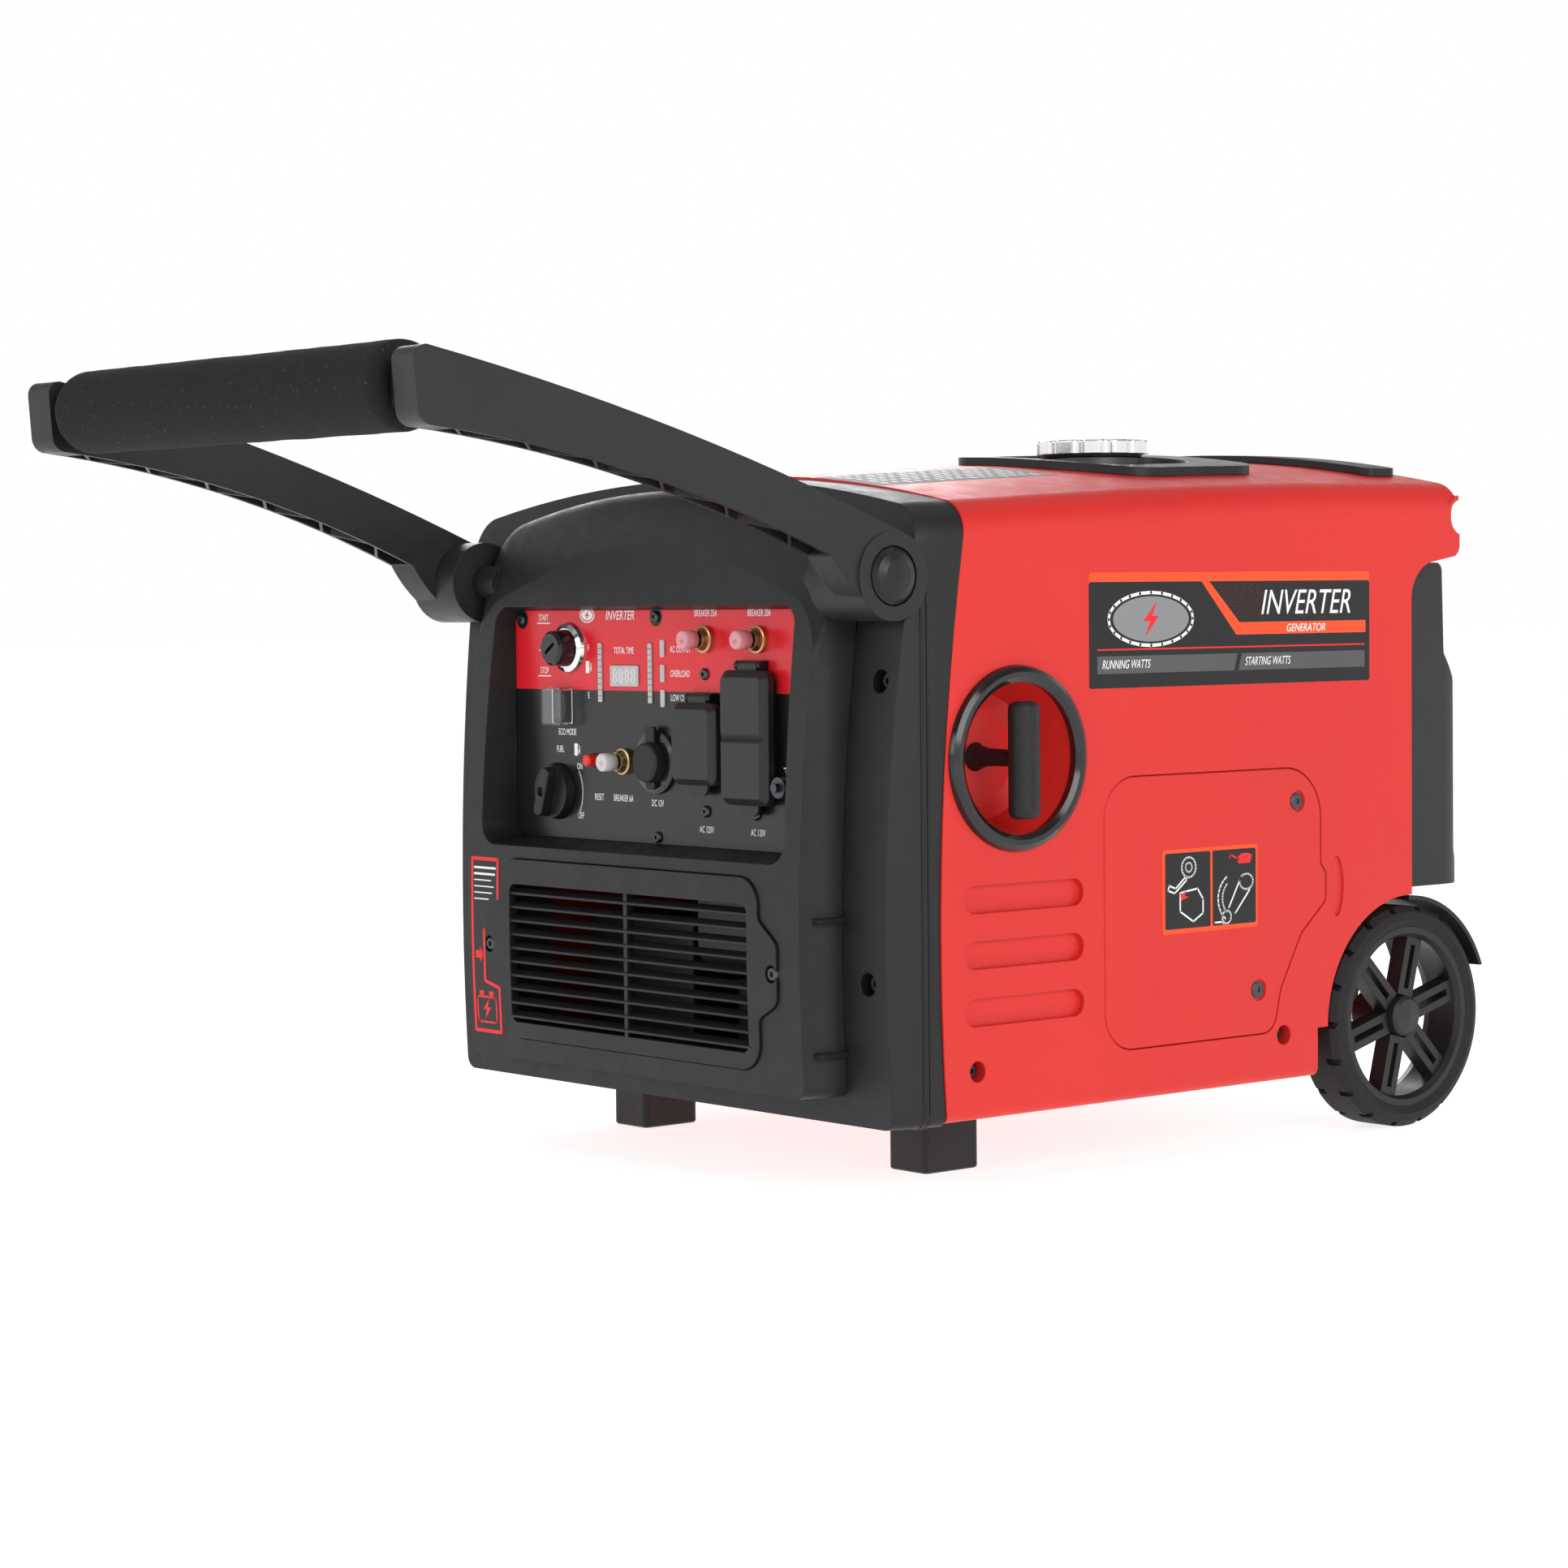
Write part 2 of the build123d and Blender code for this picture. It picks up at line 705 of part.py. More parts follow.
# Breakers: a threaded bush with its nut, and a push button under a clear boot.
bush_bore = 4.6
with BuildPart() as breaker_bushes:
    for x, z in breaker_places.values():
        add(turned(out_of_panel(x, z), [
            (-16, 5.8), (0.1, 5.8), (0.1, 8.6), (3.2, 8.6), (3.6, 7.4), (8.0, 6.2), (8.0, bush_bore), (-16, bush_bore),
        ]))
save(breaker_bushes, "breaker_bushes")

for rating, (x, z) in breaker_places.items():
    with BuildPart() as button:
        add(turned(out_of_panel(x, z), [
            (-12, 0), (-12, 4.2), (10.4, 4.2), (10.4, 6.2), (19.2, 5.8), (20.2, 4.6), (20.2, 0),
        ]))
    save(button, f"breaker_button_{rating}")

# Twelve-volt socket and its hinged rubber cap.
with BuildPart() as dc_socket:
    add(turned(out_of_panel(dc_x, dc_z), [
        (-30, 0), (-30, 14.2), (0.1, 14.2), (0.1, 21), (2.6, 20.4), (3.4, 17), (3.4, 10.6), (-27, 10.6), (-27, 0),
    ]))
save(dc_socket, "dc_socket")

with BuildPart() as dc_cap:
    add(turned(out_of_panel(dc_x, dc_z), [
        (-1, 0), (-1, 9.8), (3.9, 9.8), (3.9, 13.4), (10.4, 12.6), (11.4, 11), (11.4, 0),
    ]))
    with BuildSketch(station(panel_y - 3.9)):
        with Locations((dc_x, dc_z + 15)):
            RectangleRounded(9, 16, 2)
    extrude(amount=2.4)
    with BuildSketch(station(panel_y - 3.9)):
        with Locations((dc_x, dc_z - 14.5)):
            SlotOverall(9, 6)
    extrude(amount=2.4)
save(dc_cap, "dc_cap")


def outlet(name, x, z, width, height, faces):
    """Mains outlet body: a flange on the panel and round-sided faces with blade slots."""
    with BuildPart() as body:
        with BuildSketch(station(panel_y + 22)):
            with Locations((x, z)):
                RectangleRounded(width - 5, height - 5, 6)
        extrude(amount=22)
        with BuildSketch(panel_front):
            with Locations((x, z)):
                RectangleRounded(width, height, 7)
        extrude(amount=2.4)
        with BuildSketch(station(panel_y - 2.4)):
            with Locations(*[(x, z + dz) for dz in faces]):
                RectangleRounded(24, 26, 8)
        extrude(amount=1.6)
        for dz in faces:
            with BuildSketch(station(panel_y - 6)):
                with Locations((x - 6.3, z + dz + 3), (x + 6.3, z + dz + 3)):
                    Rectangle(1.9, 7.6)
                with Locations((x, z + dz - 6.5)):
                    Circle(2.5)
            extrude(amount=-20, mode=Mode.SUBTRACT)
    save(body, name)


outlet("ac_outlet_single", single_x, single_z, 40, 46, (0,))
outlet("ac_outlet_duplex", duplex_x, duplex_z, 40, 78, (19.5, -19.5))

flap_back = 4.6
flap_depth = 9.0


def flap(name, x, z, width, height, chamfer_size):
    """Weather flap over an outlet: a domed cover on a hinge knuckle, with a finger tab."""
    hinge_z = z + height / 2 + 3
    with BuildPart() as cover:
        with BuildSketch(station(panel_y - flap_back)):
            with Locations((x, z)):
                RectangleRounded(width, height, 7)
        extrude(amount=flap_depth)
        front = cover.faces().sort_by(Axis.Y)[0]
        chamfer(front.edges(), chamfer_size)
        if height > width * 1.5:
            with BuildSketch(side(x - width)):
                with BuildLine():
                    face_y = panel_y - flap_back - flap_depth
                    Polyline((face_y + 2.4, z), (face_y - 1, z + 4.2), (face_y - 1, z - 4.2), close=True)
                make_face()
            extrude(amount=2 * width, mode=Mode.SUBTRACT)
        with BuildSketch(station(panel_y - flap_back + 1)):
            with Locations((x, z)):
                RectangleRounded(width - 7, height - 7, 5)
        extrude(amount=flap_depth - 4, mode=Mode.SUBTRACT)
        with BuildSketch(station(panel_y - flap_back)):
            with Locations((x, z - height / 2 - 1)):
                SlotOverall(20, 11)
        extrude(amount=2.6)
        with BuildSketch(side(x - 9)):
            with Locations((panel_y - 4.4, hinge_z)):
                Circle(3.0)
            with Locations((panel_y - 6.0, hinge_z - 3.2)):
                Rectangle(2.8, 6)
        extrude(amount=18)
        with BuildSketch(side(x - 10)):
            with Locations((panel_y - 4.4, hinge_z)):
                Circle(1.35)
        extrude(amount=20, mode=Mode.SUBTRACT)
    save(cover, name)
    return hinge_z


flap_hinges = []
for name, x, z, width, height, bevel in (
    ("ac_flap_single", single_x, single_z, 44, 52, 4.0),
    ("ac_flap_duplex", duplex_x, duplex_z, 46, 84, 4.4),
):
    flap_hinges.append((x, flap(name, x, z, width, height, bevel)))

# Hinge brackets that carry the flaps: two ears and a pin each.
with BuildPart() as flap_hinge_brackets:
    for x, hinge_z in flap_hinges:
        for ear_side in (-1, 1):
            with BuildSketch(side(x + ear_side * 11 - 1.5)):
                with Locations((panel_y - 4.4, hinge_z)):
                    Circle(3.0)
                with Locations((panel_y - 2.2, hinge_z)):
                    Rectangle(4.4, 6)
            extrude(amount=3)
        with BuildSketch(side(x - 12)):
            with Locations((panel_y - 4.4, hinge_z)):
                Circle(1.3)
        extrude(amount=24)
save(flap_hinge_brackets, "flap_hinge_brackets")

with BuildPart() as display_lenses:
    for places, width, height, radius in (
        (bar_places, 4.0, 38.6, 0.8),
        ([display_place], 29.6, 13.6, 1.0),
        (lamp_places, 4.2, 11, 0.8),
    ):
        with BuildSketch(station(panel_y - 0.05)):
            with Locations(*places):
                RectangleRounded(width, height, radius)
        extrude(amount=0.9)
save(display_lenses, "display_lenses")

with BuildPart() as ground_terminal:
    add(turned(out_of_panel(ground_x, ground_z), [
        (-10, 0), (-10, 2.9), (0.1, 2.9), (0.1, 6.5), (1.4, 6.5), (1.4, 5), (6, 5), (6, 6.6), (10, 6.6), (10, 2.9),
        (13.5, 2.9), (13.5, 0),
    ]))
save(ground_terminal, "ground_terminal")

# ---- recoil starter -------------------------------------------------------------------------
with BuildPart() as starter_ring:
    add(turned(along_x(starter_y, starter_z), [
        (half_width - 2, dish_rim - 0.5), (half_width - 2, dish_rim - 1.5), (half_width + 3.2, dish_rim - 2.2),
        (half_width + 5.2, dish_rim + 1.0), (half_width + 5.4, dish_rim + 4.0), (half_width + 3.6, dish_rim + 7.2),
        (half_width + 0.05, dish_rim + 8.4), (half_width + 0.05, dish_rim - 0.5),
    ]))
save(starter_ring, "starter_ring")

grip_x = 237.0
with BuildPart() as starter_handle:
    add(turned(along_x(starter_y, starter_z), [
        (half_width - dish_depth + 0.6, 0), (half_width - dish_depth + 0.6, 9), (half_width - dish_depth + 5, 7),
        (half_width - dish_depth + 12, 5.6), (grip_x - 4, 5.0), (grip_x - 4, 0),
    ]))
    with BuildSketch(Plane.XY.offset(starter_z - 37)):
        with Locations((grip_x, starter_y)):
            Ellipse(9.0, 10.5)
    extrude(amount=72)
    fillet(starter_handle.edges().filter_by(GeomType.ELLIPSE), 5)
save(starter_handle, "starter_handle")

# Rope drum and fan housing behind the dish.
with BuildPart() as recoil_housing:
    add(turned(along_x(starter_y, starter_z), [
        (150, 0), (150, 62), (156, 66), (half_width - dish_depth - 14, 60), (half_width - dish_depth - 5, 26),
        (half_width - dish_depth - 5, 9), (half_width - dish_depth - 12, 9), (half_width - dish_depth - 12, 24),
        (half_width - dish_depth - 17, 56), (158, 60), (155, 58), (155, 0),
    ]))
save(recoil_housing, "recoil_housing")

# ---- roof: fuel tray, tank, cap, rear trim --------------------------------------------------
tray_z = 441.0
neck_radius = 30.0
tray_outline = [
    (12, cap_y - 60), (110, cap_y - 60), (172, cap_y - 34), (174, cap_y + 84), (100, cap_y + 86), (14, cap_y + 78),
]
tray_radii = [24, 26, 30, 26, 30, 26]


def tray_plate(grow, low, high):
    with BuildPart() as plate:
        with BuildSketch(Plane.XY.offset(low)):
            with BuildLine():
                FilletPolyline(*tray_outline, radius=tray_radii, close=True)
            make_face()
            if grow:
                offset(amount=grow)
        extrude(amount=high - low)
    return plate.part


with BuildPart() as fuel_tray:
    add(casing_block(-5.5, casing_stations, body_floor, 24, 6))
    add(tray_plate(0, 400, 480), mode=Mode.INTERSECT)
    add(casing_block(-0.1, casing_stations, body_floor, 24, 6), mode=Mode.SUBTRACT)
    with BuildSketch(Plane.XY.offset(tray_z - 12)):
        with Locations((cap_x, cap_y)):
            RectangleRounded(119, 95, 29.5)
    extrude(amount=18)
    with BuildSketch(Plane.XY.offset(tray_z - 9)):
        with Locations((cap_x, cap_y)):
            RectangleRounded(111, 87, 26)
    extrude(amount=60, taper=-12, mode=Mode.SUBTRACT)
    with BuildSketch(Plane.XY.offset(tray_z - 20)):
        with Locations((cap_x, cap_y)):
            Circle(neck_radius + 1)
    extrude(amount=60, mode=Mode.SUBTRACT)
save(fuel_tray, "fuel_tray")

with BuildPart() as fuel_tank:
    with BuildSketch(Plane.XY.offset(345)):
        with Locations((70, 190)):
            RectangleRounded(250, 240, 30)
    extrude(amount=72)
    fillet(fuel_tank.edges().group_by(Axis.Z)[-1], 4)
    with BuildSketch(Plane.XY.offset(348)):
        with Locations((70, 190)):
            RectangleRounded(244, 234, 27)
    extrude(amount=64, mode=Mode.SUBTRACT)
    with BuildSketch(Plane.XY.offset(412)):
        with Locations((cap_x, cap_y)):
            Circle(neck_radius)
    extrude(amount=42)
    with BuildSketch(Plane.XY.offset(400)):
        with Locations((cap_x, cap_y)):
            Circle(neck_radius - 3)
    extrude(amount=60, mode=Mode.SUBTRACT)
save(fuel_tank, "fuel_tank")

cap_low = 454.6
cap_lobes = 12
with BuildPart() as fuel_cap:
    add(turned(along_z(cap_x, cap_y), [
        (cap_low - 14, 0), (cap_low - 14, neck_radius - 3.4), (cap_low - 0.2, neck_radius - 3.4),
        (cap_low - 0.2, neck_radius + 2.5), (cap_low + 2, neck_radius + 3), (cap_low + 2, 0),
    ]))
    with BuildSketch(Plane.XY.offset(cap_low + 2)):
        with Locations((cap_x, cap_y)):
            Circle(cap_radius)
            with PolarLocations(cap_radius + 2.2, cap_lobes):
                Circle(5, mode=Mode.SUBTRACT)
    extrude(amount=9)
    fillet(fuel_cap.faces().sort_by(Axis.Z)[-1].edges(), 1.4)
save(fuel_cap, "fuel_cap")

trim_half = 184.0
with BuildPart() as rear_trim:
    add(casing_block(-5.0, casing_stations, body_floor, 24, 6))
    with BuildSketch(Plane.XY.offset(400)):
        with Locations((0, tail_y - 24)):
            RectangleRounded(2 * trim_half, 30, 8)
    extrude(amount=80, mode=Mode.INTERSECT)
    add(casing_block(-0.1, casing_stations, body_floor, 24, 6), mode=Mode.SUBTRACT)
save(rear_trim, "rear_trim")

# ---- rear cover and exhaust -----------------------------------------------------------------
rear_half = 205.0
rear_outline = [
    (side_rear_y + 0.3, 160), (side_rear_y + 0.3, 382.4), (418, 382.4), (420, 320), (432, 302),
    (433, 182), (448, 164), (448, 160),
]
rear_radii = [1, 27, 6, 8, 8, 10, 4, 1]


def rear_block(margin, half, corner):
    with BuildPart() as block:
        with BuildSketch(side(-half)):
            with BuildLine():
                FilletPolyline(*rear_outline, radius=rear_radii, close=True)
            make_face()
            if margin:
                offset(amount=-margin, kind=Kind.INTERSECTION)
        extrude(amount=2 * half)
        with BuildSketch(Plane.XY.offset(100)):
            with Locations((0, 354)):
                RectangleRounded(2 * half, 2 * (94 - margin), corner)
        extrude(amount=330, mode=Mode.INTERSECT)
    return block.part


exhaust_x, exhaust_z = -120.0, 210.0
with BuildPart() as rear_cover:
    add(rear_block(0, rear_half, 26))
    add(rear_block(wall, rear_half - wall, 23), mode=Mode.SUBTRACT)
    with BuildSketch(station(side_rear_y + 20)):
        with Locations((0, 262)):
            RectangleRounded(2 * rear_half - 30, 190, 12)
    extrude(amount=40, mode=Mode.SUBTRACT)
    with BuildSketch(station(470)):
        with Locations((40, 245)):
            with GridLocations(0, 13, 1, 8):
                SlotOverall(210, 6)
        with Locations((exhaust_x, exhaust_z)):
            Circle(26)
    extrude(amount=60, mode=Mode.SUBTRACT)
save(rear_cover, "rear_cover")

with BuildPart() as exhaust_outlet:
    add(turned(along_y(exhaust_x, exhaust_z), [
        (402, 11), (402, 18), (426, 18), (426, 24.5), (444, 24.5), (444, 21), (430, 14), (430, 11),
    ]))
save(exhaust_outlet, "exhaust_outlet")

# ---- floor pan, feet, axle ------------------------------------------------------------------
pan_floor = body_floor + wall + 0.3
pan_half = half_width - 8
pan_middle_y = 76.0
pan_length = 290.0
with BuildPart() as base_pan:
    with BuildSketch(Plane.XY.offset(pan_floor)):
        with Locations((0, pan_middle_y)):
            RectangleRounded(2 * pan_half, pan_length, 10)
    extrude(amount=14)
    with BuildSketch(Plane.XY.offset(pan_floor + wall)):
        with Locations((0, pan_middle_y)):
            RectangleRounded(2 * pan_half - 6, pan_length - 6, 7)
    extrude(amount=20, mode=Mode.SUBTRACT)
    with Locations((0, pan_middle_y, pan_floor + wall + 2)):
        with GridLocations(90, 0, 5, 1):
            Box(3, pan_length - 4, 4)
save(base_pan, "base_pan")

foot_width = 36.0
foot_length = 46.0
with BuildPart() as front_feet:
    with BuildSketch(Plane.XY):
        with Locations((foot_x, foot_y), (-foot_x, foot_y)):
            RectangleRounded(foot_width, foot_length, 4)
    extrude(amount=body_floor - 0.1)
    chamfer(front_feet.edges().group_by(Axis.Z)[0], 1.2)
save(front_feet, "front_feet")

axle_radius = 7.0
axle_half = 226.0
with BuildPart() as axle:
    with BuildSketch(side(-axle_half)):
        with Locations((axle_y, wheel_radius)):
            Circle(axle_radius)
    extrude(amount=2 * axle_half)
    chamfer(axle.edges().filter_by(GeomType.CIRCLE), 1)

fender_radius = arch_radius - 0.8
bracket_inner = 150.0
with BuildPart() as axle_brackets:
    for sign in (1, -1):
        with BuildSketch(side(sign * bracket_inner)):
            with BuildLine():
                FilletPolyline(
                    (axle_y - 24, wheel_radius - 16), (axle_y + 24, wheel_radius - 16), (axle_y + 50, 158.5),
                    (axle_y + 4, 158.5), radius=[14, 14, 3, 1], close=True,
                )
            make_face()
            with Locations((axle_y, wheel_radius)):
                Circle(axle_radius, mode=Mode.SUBTRACT)
        extrude(amount=sign * 8)
        with BuildSketch(side(sign * bracket_inner)):
            with Locations((axle_y, wheel_radius)):
                Circle(fender_radius)
                Circle(fender_radius - 3, mode=Mode.SUBTRACT)
            with Locations((axle_y + 80, wheel_radius + 60)):
                Rectangle(160, 60, mode=Mode.INTERSECT)
        extrude(amount=sign * (half_width - 1 - bracket_inner))
save(axle_brackets, "axle_brackets")

# ---- wheels -----------------------------------------------------------------------------------
wheel_outer_x = half_width
wheel_inner_x = wheel_outer_x - wheel_width
rim_radius = 61.0
hub_bore = axle_radius + 0.08
spoke_pairs = 6
tread_lugs = 36
wheel_centre = (axle_y, wheel_radius)


def wheel_ring(sign, profile):
    """Ring turned about the axle: profile points are (distance from the middle plane, radius)."""
    return turned(along_x(*wheel_centre), [(sign * x, radius) for x, radius in profile])


def wheel_rim(sign):
    """Moulded rim: bead ring, hub and six twin-bar spokes joined near the bead."""
    inner, outer = wheel_inner_x, wheel_outer_x
    with BuildPart() as rim:
        add(wheel_ring(sign, [
            (inner + 2, rim_radius - 4), (inner + 2, rim_radius), (outer - 3, rim_radius),
            (outer - 3, rim_radius - 4.5), (outer - 7, rim_radius - 7), (inner + 8, rim_radius - 6),
        ]))
        add(wheel_ring(sign, [(inner, hub_bore), (inner, 16), (outer - 12.5, 15), (outer - 12.5, hub_bore)]))
        with BuildSketch(side(sign * (outer - 20))):
            with Locations(wheel_centre):
                with PolarLocations(36, spoke_pairs, start_angle=75):
                    Rectangle(44, 15)
                    with Locations((-2, 0)):
                        Rectangle(30, 4.5, mode=Mode.SUBTRACT)
        extrude(amount=sign * 12)
    return rim.part


def wheel_tyre(sign):
    """Solid tyre with angled lugs cut round its tread."""
    inner, outer = wheel_inner_x, wheel_outer_x
    with BuildPart() as tyre:
        add(wheel_ring(sign, [
            (inner + 2.2, rim_radius + 0.02), (inner, rim_radius + 5), (inner + 2, wheel_radius - 4),
            (inner + 6, wheel_radius), (outer - 6, wheel_radius), (outer - 2, wheel_radius - 4),
            (outer, rim_radius + 5), (outer - 3.2, rim_radius + 0.02),
        ]))
        for edge, lean in ((inner - 2, 1), (outer + 2, -1)):
            with BuildSketch(side(sign * edge)):
                with Locations(wheel_centre):
                    with PolarLocations(wheel_radius, tread_lugs // 2):
                        Rectangle(7, 4.5, rotation=sign * lean * 20)
            extrude(amount=sign * lean * 15, mode=Mode.SUBTRACT)
    return tyre.part


for sign, hand in ((1, "right"), (-1, "left")):
    with BuildPart() as rim:
        add(wheel_rim(sign))
    save(rim, f"{hand}_rim")
    with BuildPart() as tyre:
        add(wheel_tyre(sign))
    save(tyre, f"{hand}_tyre")

# The axle node also holds the two caps that keep the wheels on.
with BuildPart() as axle_set:
    add(axle.part)
    for sign in (1, -1):
        add(wheel_ring(sign, [
            (axle_half - 7, axle_radius), (axle_half - 7, 14), (wheel_outer_x - 4, 13.5), (wheel_outer_x - 2, 11.5),
            (wheel_outer_x - 0.6, 0), (axle_half, 0), (axle_half, axle_radius),
        ]))
save(axle_set, "axle")

# ---- swing handle -----------------------------------------------------------------------------
arm_wall = 3.0
arm_outer_x = hub_outer_x
arm_inner_x = hub_outer_x - 24


def arm_outline():
    """Side view of an arm: a gentle banana curve from the hub to the squared grip end."""
    with BuildSketch() as outline:
        with BuildLine():
            ThreePointArc((grip_y - 14, 502), (-248, 453), (pivot_y + 8, pivot_z + hub_radius - 1))
            Line((pivot_y + 8, pivot_z + hub_radius - 1), (pivot_y, pivot_z - hub_radius + 1))
            ThreePointArc((pivot_y, pivot_z - hub_radius + 1), (-138, 364), (-158, 387))
            ThreePointArc((-158, 387), (-285, 431), (grip_y - 10, 458))
            RadiusArc((grip_y - 10, 458), (grip_y - 20, 468), 10)
            Line((grip_y - 20, 468), (grip_y - 22, 494))
            RadiusArc((grip_y - 22, 494), (grip_y - 14, 502), 8)
        make_face()
        with Locations((pivot_y, pivot_z)):
            Circle(hub_radius)
    return outline.sketch


rib_count = 11
collar_length = 46.0


def handle_arm(sign):
    """Channel-section arm, open underneath, stiffened by zigzag ribs; it leans in to the grip."""
    inner, outer = sign * arm_inner_x, sign * arm_outer_x
    with BuildPart() as beam:
        with BuildSketch(side(inner)):
            add(arm_outline())
        extrude(amount=outer - inner)
        with BuildSketch(side(inner + sign * arm_wall)):
            with BuildLine():
                ThreePointArc((-416, 440), (-285, 418), (-166, 378))
                Line((-166, 378), (-150, 404))
                ThreePointArc((-150, 404), (-285, 447), (-416, 475))
                Line((-416, 475), (-416, 440))
            make_face()
        extrude(amount=outer - inner - sign * 2 * arm_wall, mode=Mode.SUBTRACT)
        for rib in range(rib_count):
            along = rib / (rib_count - 1)
            rib_y = -406 + along * 226
            rib_z = 466 - along * 22 - along ** 2 * 42
            with BuildSketch(Plane.XY.offset(rib_z - 14)):
                with Locations((sign * (arm_inner_x + 12), rib_y)):
                    Rectangle(26, 2, rotation=38 if rib % 2 else -38)
            extrude(amount=14)
        with BuildSketch(side(inner)):
            add(arm_outline())
        extrude(amount=outer - inner, mode=Mode.INTERSECT)
    leaning = beam.part.rotate(along_z(outer, pivot_y), -sign * arm_lean)
    with BuildPart() as arm:
        add(leaning)
        with BuildSketch(side(sign * (arm_outer_x + 0.5))):
            with Locations((-250, 430)):
                Rectangle(500, 200)
        extrude(amount=sign * 30, mode=Mode.SUBTRACT)
        with BuildSketch(side(sign * hub_inner_x)):
            with Locations((pivot_y, pivot_z)):
                Circle(hub_radius)
        extrude(amount=outer - sign * hub_inner_x)
        with BuildSketch(side(sign * (hub_inner_x - 1))):
            with Locations((pivot_y, pivot_z)):
                Circle(pin_radius + 0.08)
        extrude(amount=sign * 60, mode=Mode.SUBTRACT)
        with BuildSketch(side(sign * (hub_outer_x - 4))):
            with Locations((pivot_y, pivot_z)):
                Circle(18)
        extrude(amount=sign * 10, mode=Mode.SUBTRACT)
        with BuildSketch(side(sign * (grip_half - 24))):
            with Locations((grip_y, grip_z)):
                RectangleRounded(26, 30, 6)
        extrude(amount=sign * collar_length)
    return arm.part


for sign, hand in ((1, "right"), (-1, "left")):
    with BuildPart() as arm:
        add(handle_arm(sign))
    save(arm, f"handle_arm_{hand}")

with BuildPart() as pivot_caps:
    for sign in (1, -1):
        add(turned(along_x(pivot_y, pivot_z), [
            (sign * (hub_outer_x - 3.9), 0), (sign * (hub_outer_x - 3.9), 17.2), (sign * hub_outer_x, 17.2),
            (sign * (hub_outer_x + 2.6), 14.5), (sign * (hub_outer_x + 4.6), 9.5), (sign * (hub_outer_x + 5.6), 4),
            (sign * (hub_outer_x + 5.8), 0),
        ]))
save(pivot_caps, "pivot_caps")

with BuildPart() as pivot_pins:
    for sign in (1, -1):
        add(turned(along_x(pivot_y, pivot_z), [
            (sign * (pin_inner_x + 4.05), 0), (sign * (pin_inner_x + 4.05), pin_radius),
            (sign * (hub_outer_x - 6), pin_radius), (sign * (hub_outer_x - 6), 0),
        ]))
save(pivot_pins, "pivot_pins")

tube_radius = 11.0
with BuildPart() as handle_tube:
    with BuildSketch(side(-grip_half + 24.2)):
        with Locations((grip_y, grip_z)):
            Circle(tube_radius)
            Circle(tube_radius - 2, mode=Mode.SUBTRACT)
    extrude(amount=2 * (grip_half - 24.2))
save(handle_tube, "handle_tube")

with BuildPart() as grip_foam:
    add(turned(along_x(grip_y, grip_z), [
        (-grip_half + 25, tube_radius), (-grip_half + 25, 19), (-grip_half, 19), (-grip_half, grip_radius - 4),
        (-grip_half + 4, grip_radius), (grip_half - 4, grip_radius), (grip_half, grip_radius - 4), (grip_half, 19),
        (grip_half - 25, 19), (grip_half - 25, tube_radius),
    ]))
save(grip_foam, "grip_foam")

# ---- engine, alternator and electrics inside the casing ------------------------------------------
crank_z = starter_z
crank_y = starter_y
with BuildPart() as crankcase:
    with Locations((40, crank_y + 24, 210)):
        Box(120, 150, 190)
    fillet(crankcase.edges().filter_by(Axis.X), 22)
    with BuildSketch(side(-30)):
        with Locations((crank_y, crank_z)):
            Circle(15.1)
    extrude(amount=200, mode=Mode.SUBTRACT)
save(crankcase, "crankcase")

fin_count = 8
with BuildPart() as cylinder_head:
    with Locations((40, crank_y + 140, 250)):
        Box(70, 76, 70)
    for fin in range(fin_count):
        with Locations((40, crank_y + 110 + fin * 9, 250)):
            Box(104, 3, 100)
save(cylinder_head, "cylinder_head")

with BuildPart() as muffler:
    with BuildSketch(station(340)):
        with Locations((exhaust_x + 30, exhaust_z + 10)):
            RectangleRounded(150, 90, 30)
    extrude(amount=110)
    with BuildSketch(station(398)):
        with Locations((exhaust_x, exhaust_z)):
            Circle(10.9)
            Circle(8.5, mode=Mode.SUBTRACT)
    extrude(amount=58)
save(muffler, "muffler")

with BuildPart() as alternator_stator:
    add(turned(along_x(crank_y, crank_z), [(-110, 46), (-110, 76), (-40, 76), (-40, 46)]))
save(alternator_stator, "alternator_stator")

with BuildPart() as engine_rotor:
    add(turned(along_x(crank_y, crank_z), [
        (-116, 0), (-116, 44), (-38, 44), (-38, 15), (140, 15), (140, 52), (146, 52), (146, 0),
    ]))
save(engine_rotor, "engine_rotor")

# Air cleaner box with the carburettor between it and the engine.
with BuildPart() as intake:
    with Locations((190, crank_y + 150, 262)):
        Box(48, 110, 90)
    fillet(intake.edges().filter_by(Axis.X), 12)
    with Locations((132, crank_y + 150, 252)):
        Box(74, 44, 52)
    with Locations((130, crank_y + 150, 215)):
        Cylinder(20, 30)
save(intake, "intake")

with BuildPart() as inverter_module:
    with Locations((-172, 20, 250)):
        Box(56, 150, 150)
    for fin in range(10):
        with Locations((-204, -50 + fin * 15.5, 250)):
            Box(10, 3, 150)
save(inverter_module, "inverter_module")

with BuildPart() as battery:
    with Locations((-84, -28, 104)):
        Box(112, 66, 92)
    fillet(battery.edges().filter_by(Axis.Z), 3)
    with Locations((-120, -28, 154), (-48, -28, 154)):
        Box(12, 12, 8)
save(battery, "battery")

with BuildPart() as engine_mounts:
    for x in (20, 70):
        for y in (crank_y - 30, crank_y + 78):
            with BuildSketch(Plane.XY.offset(pan_floor + wall)):
                with Locations((x, y)):
                    Circle(16)
            extrude(amount=115 - pan_floor - wall)
save(engine_mounts, "engine_mounts")


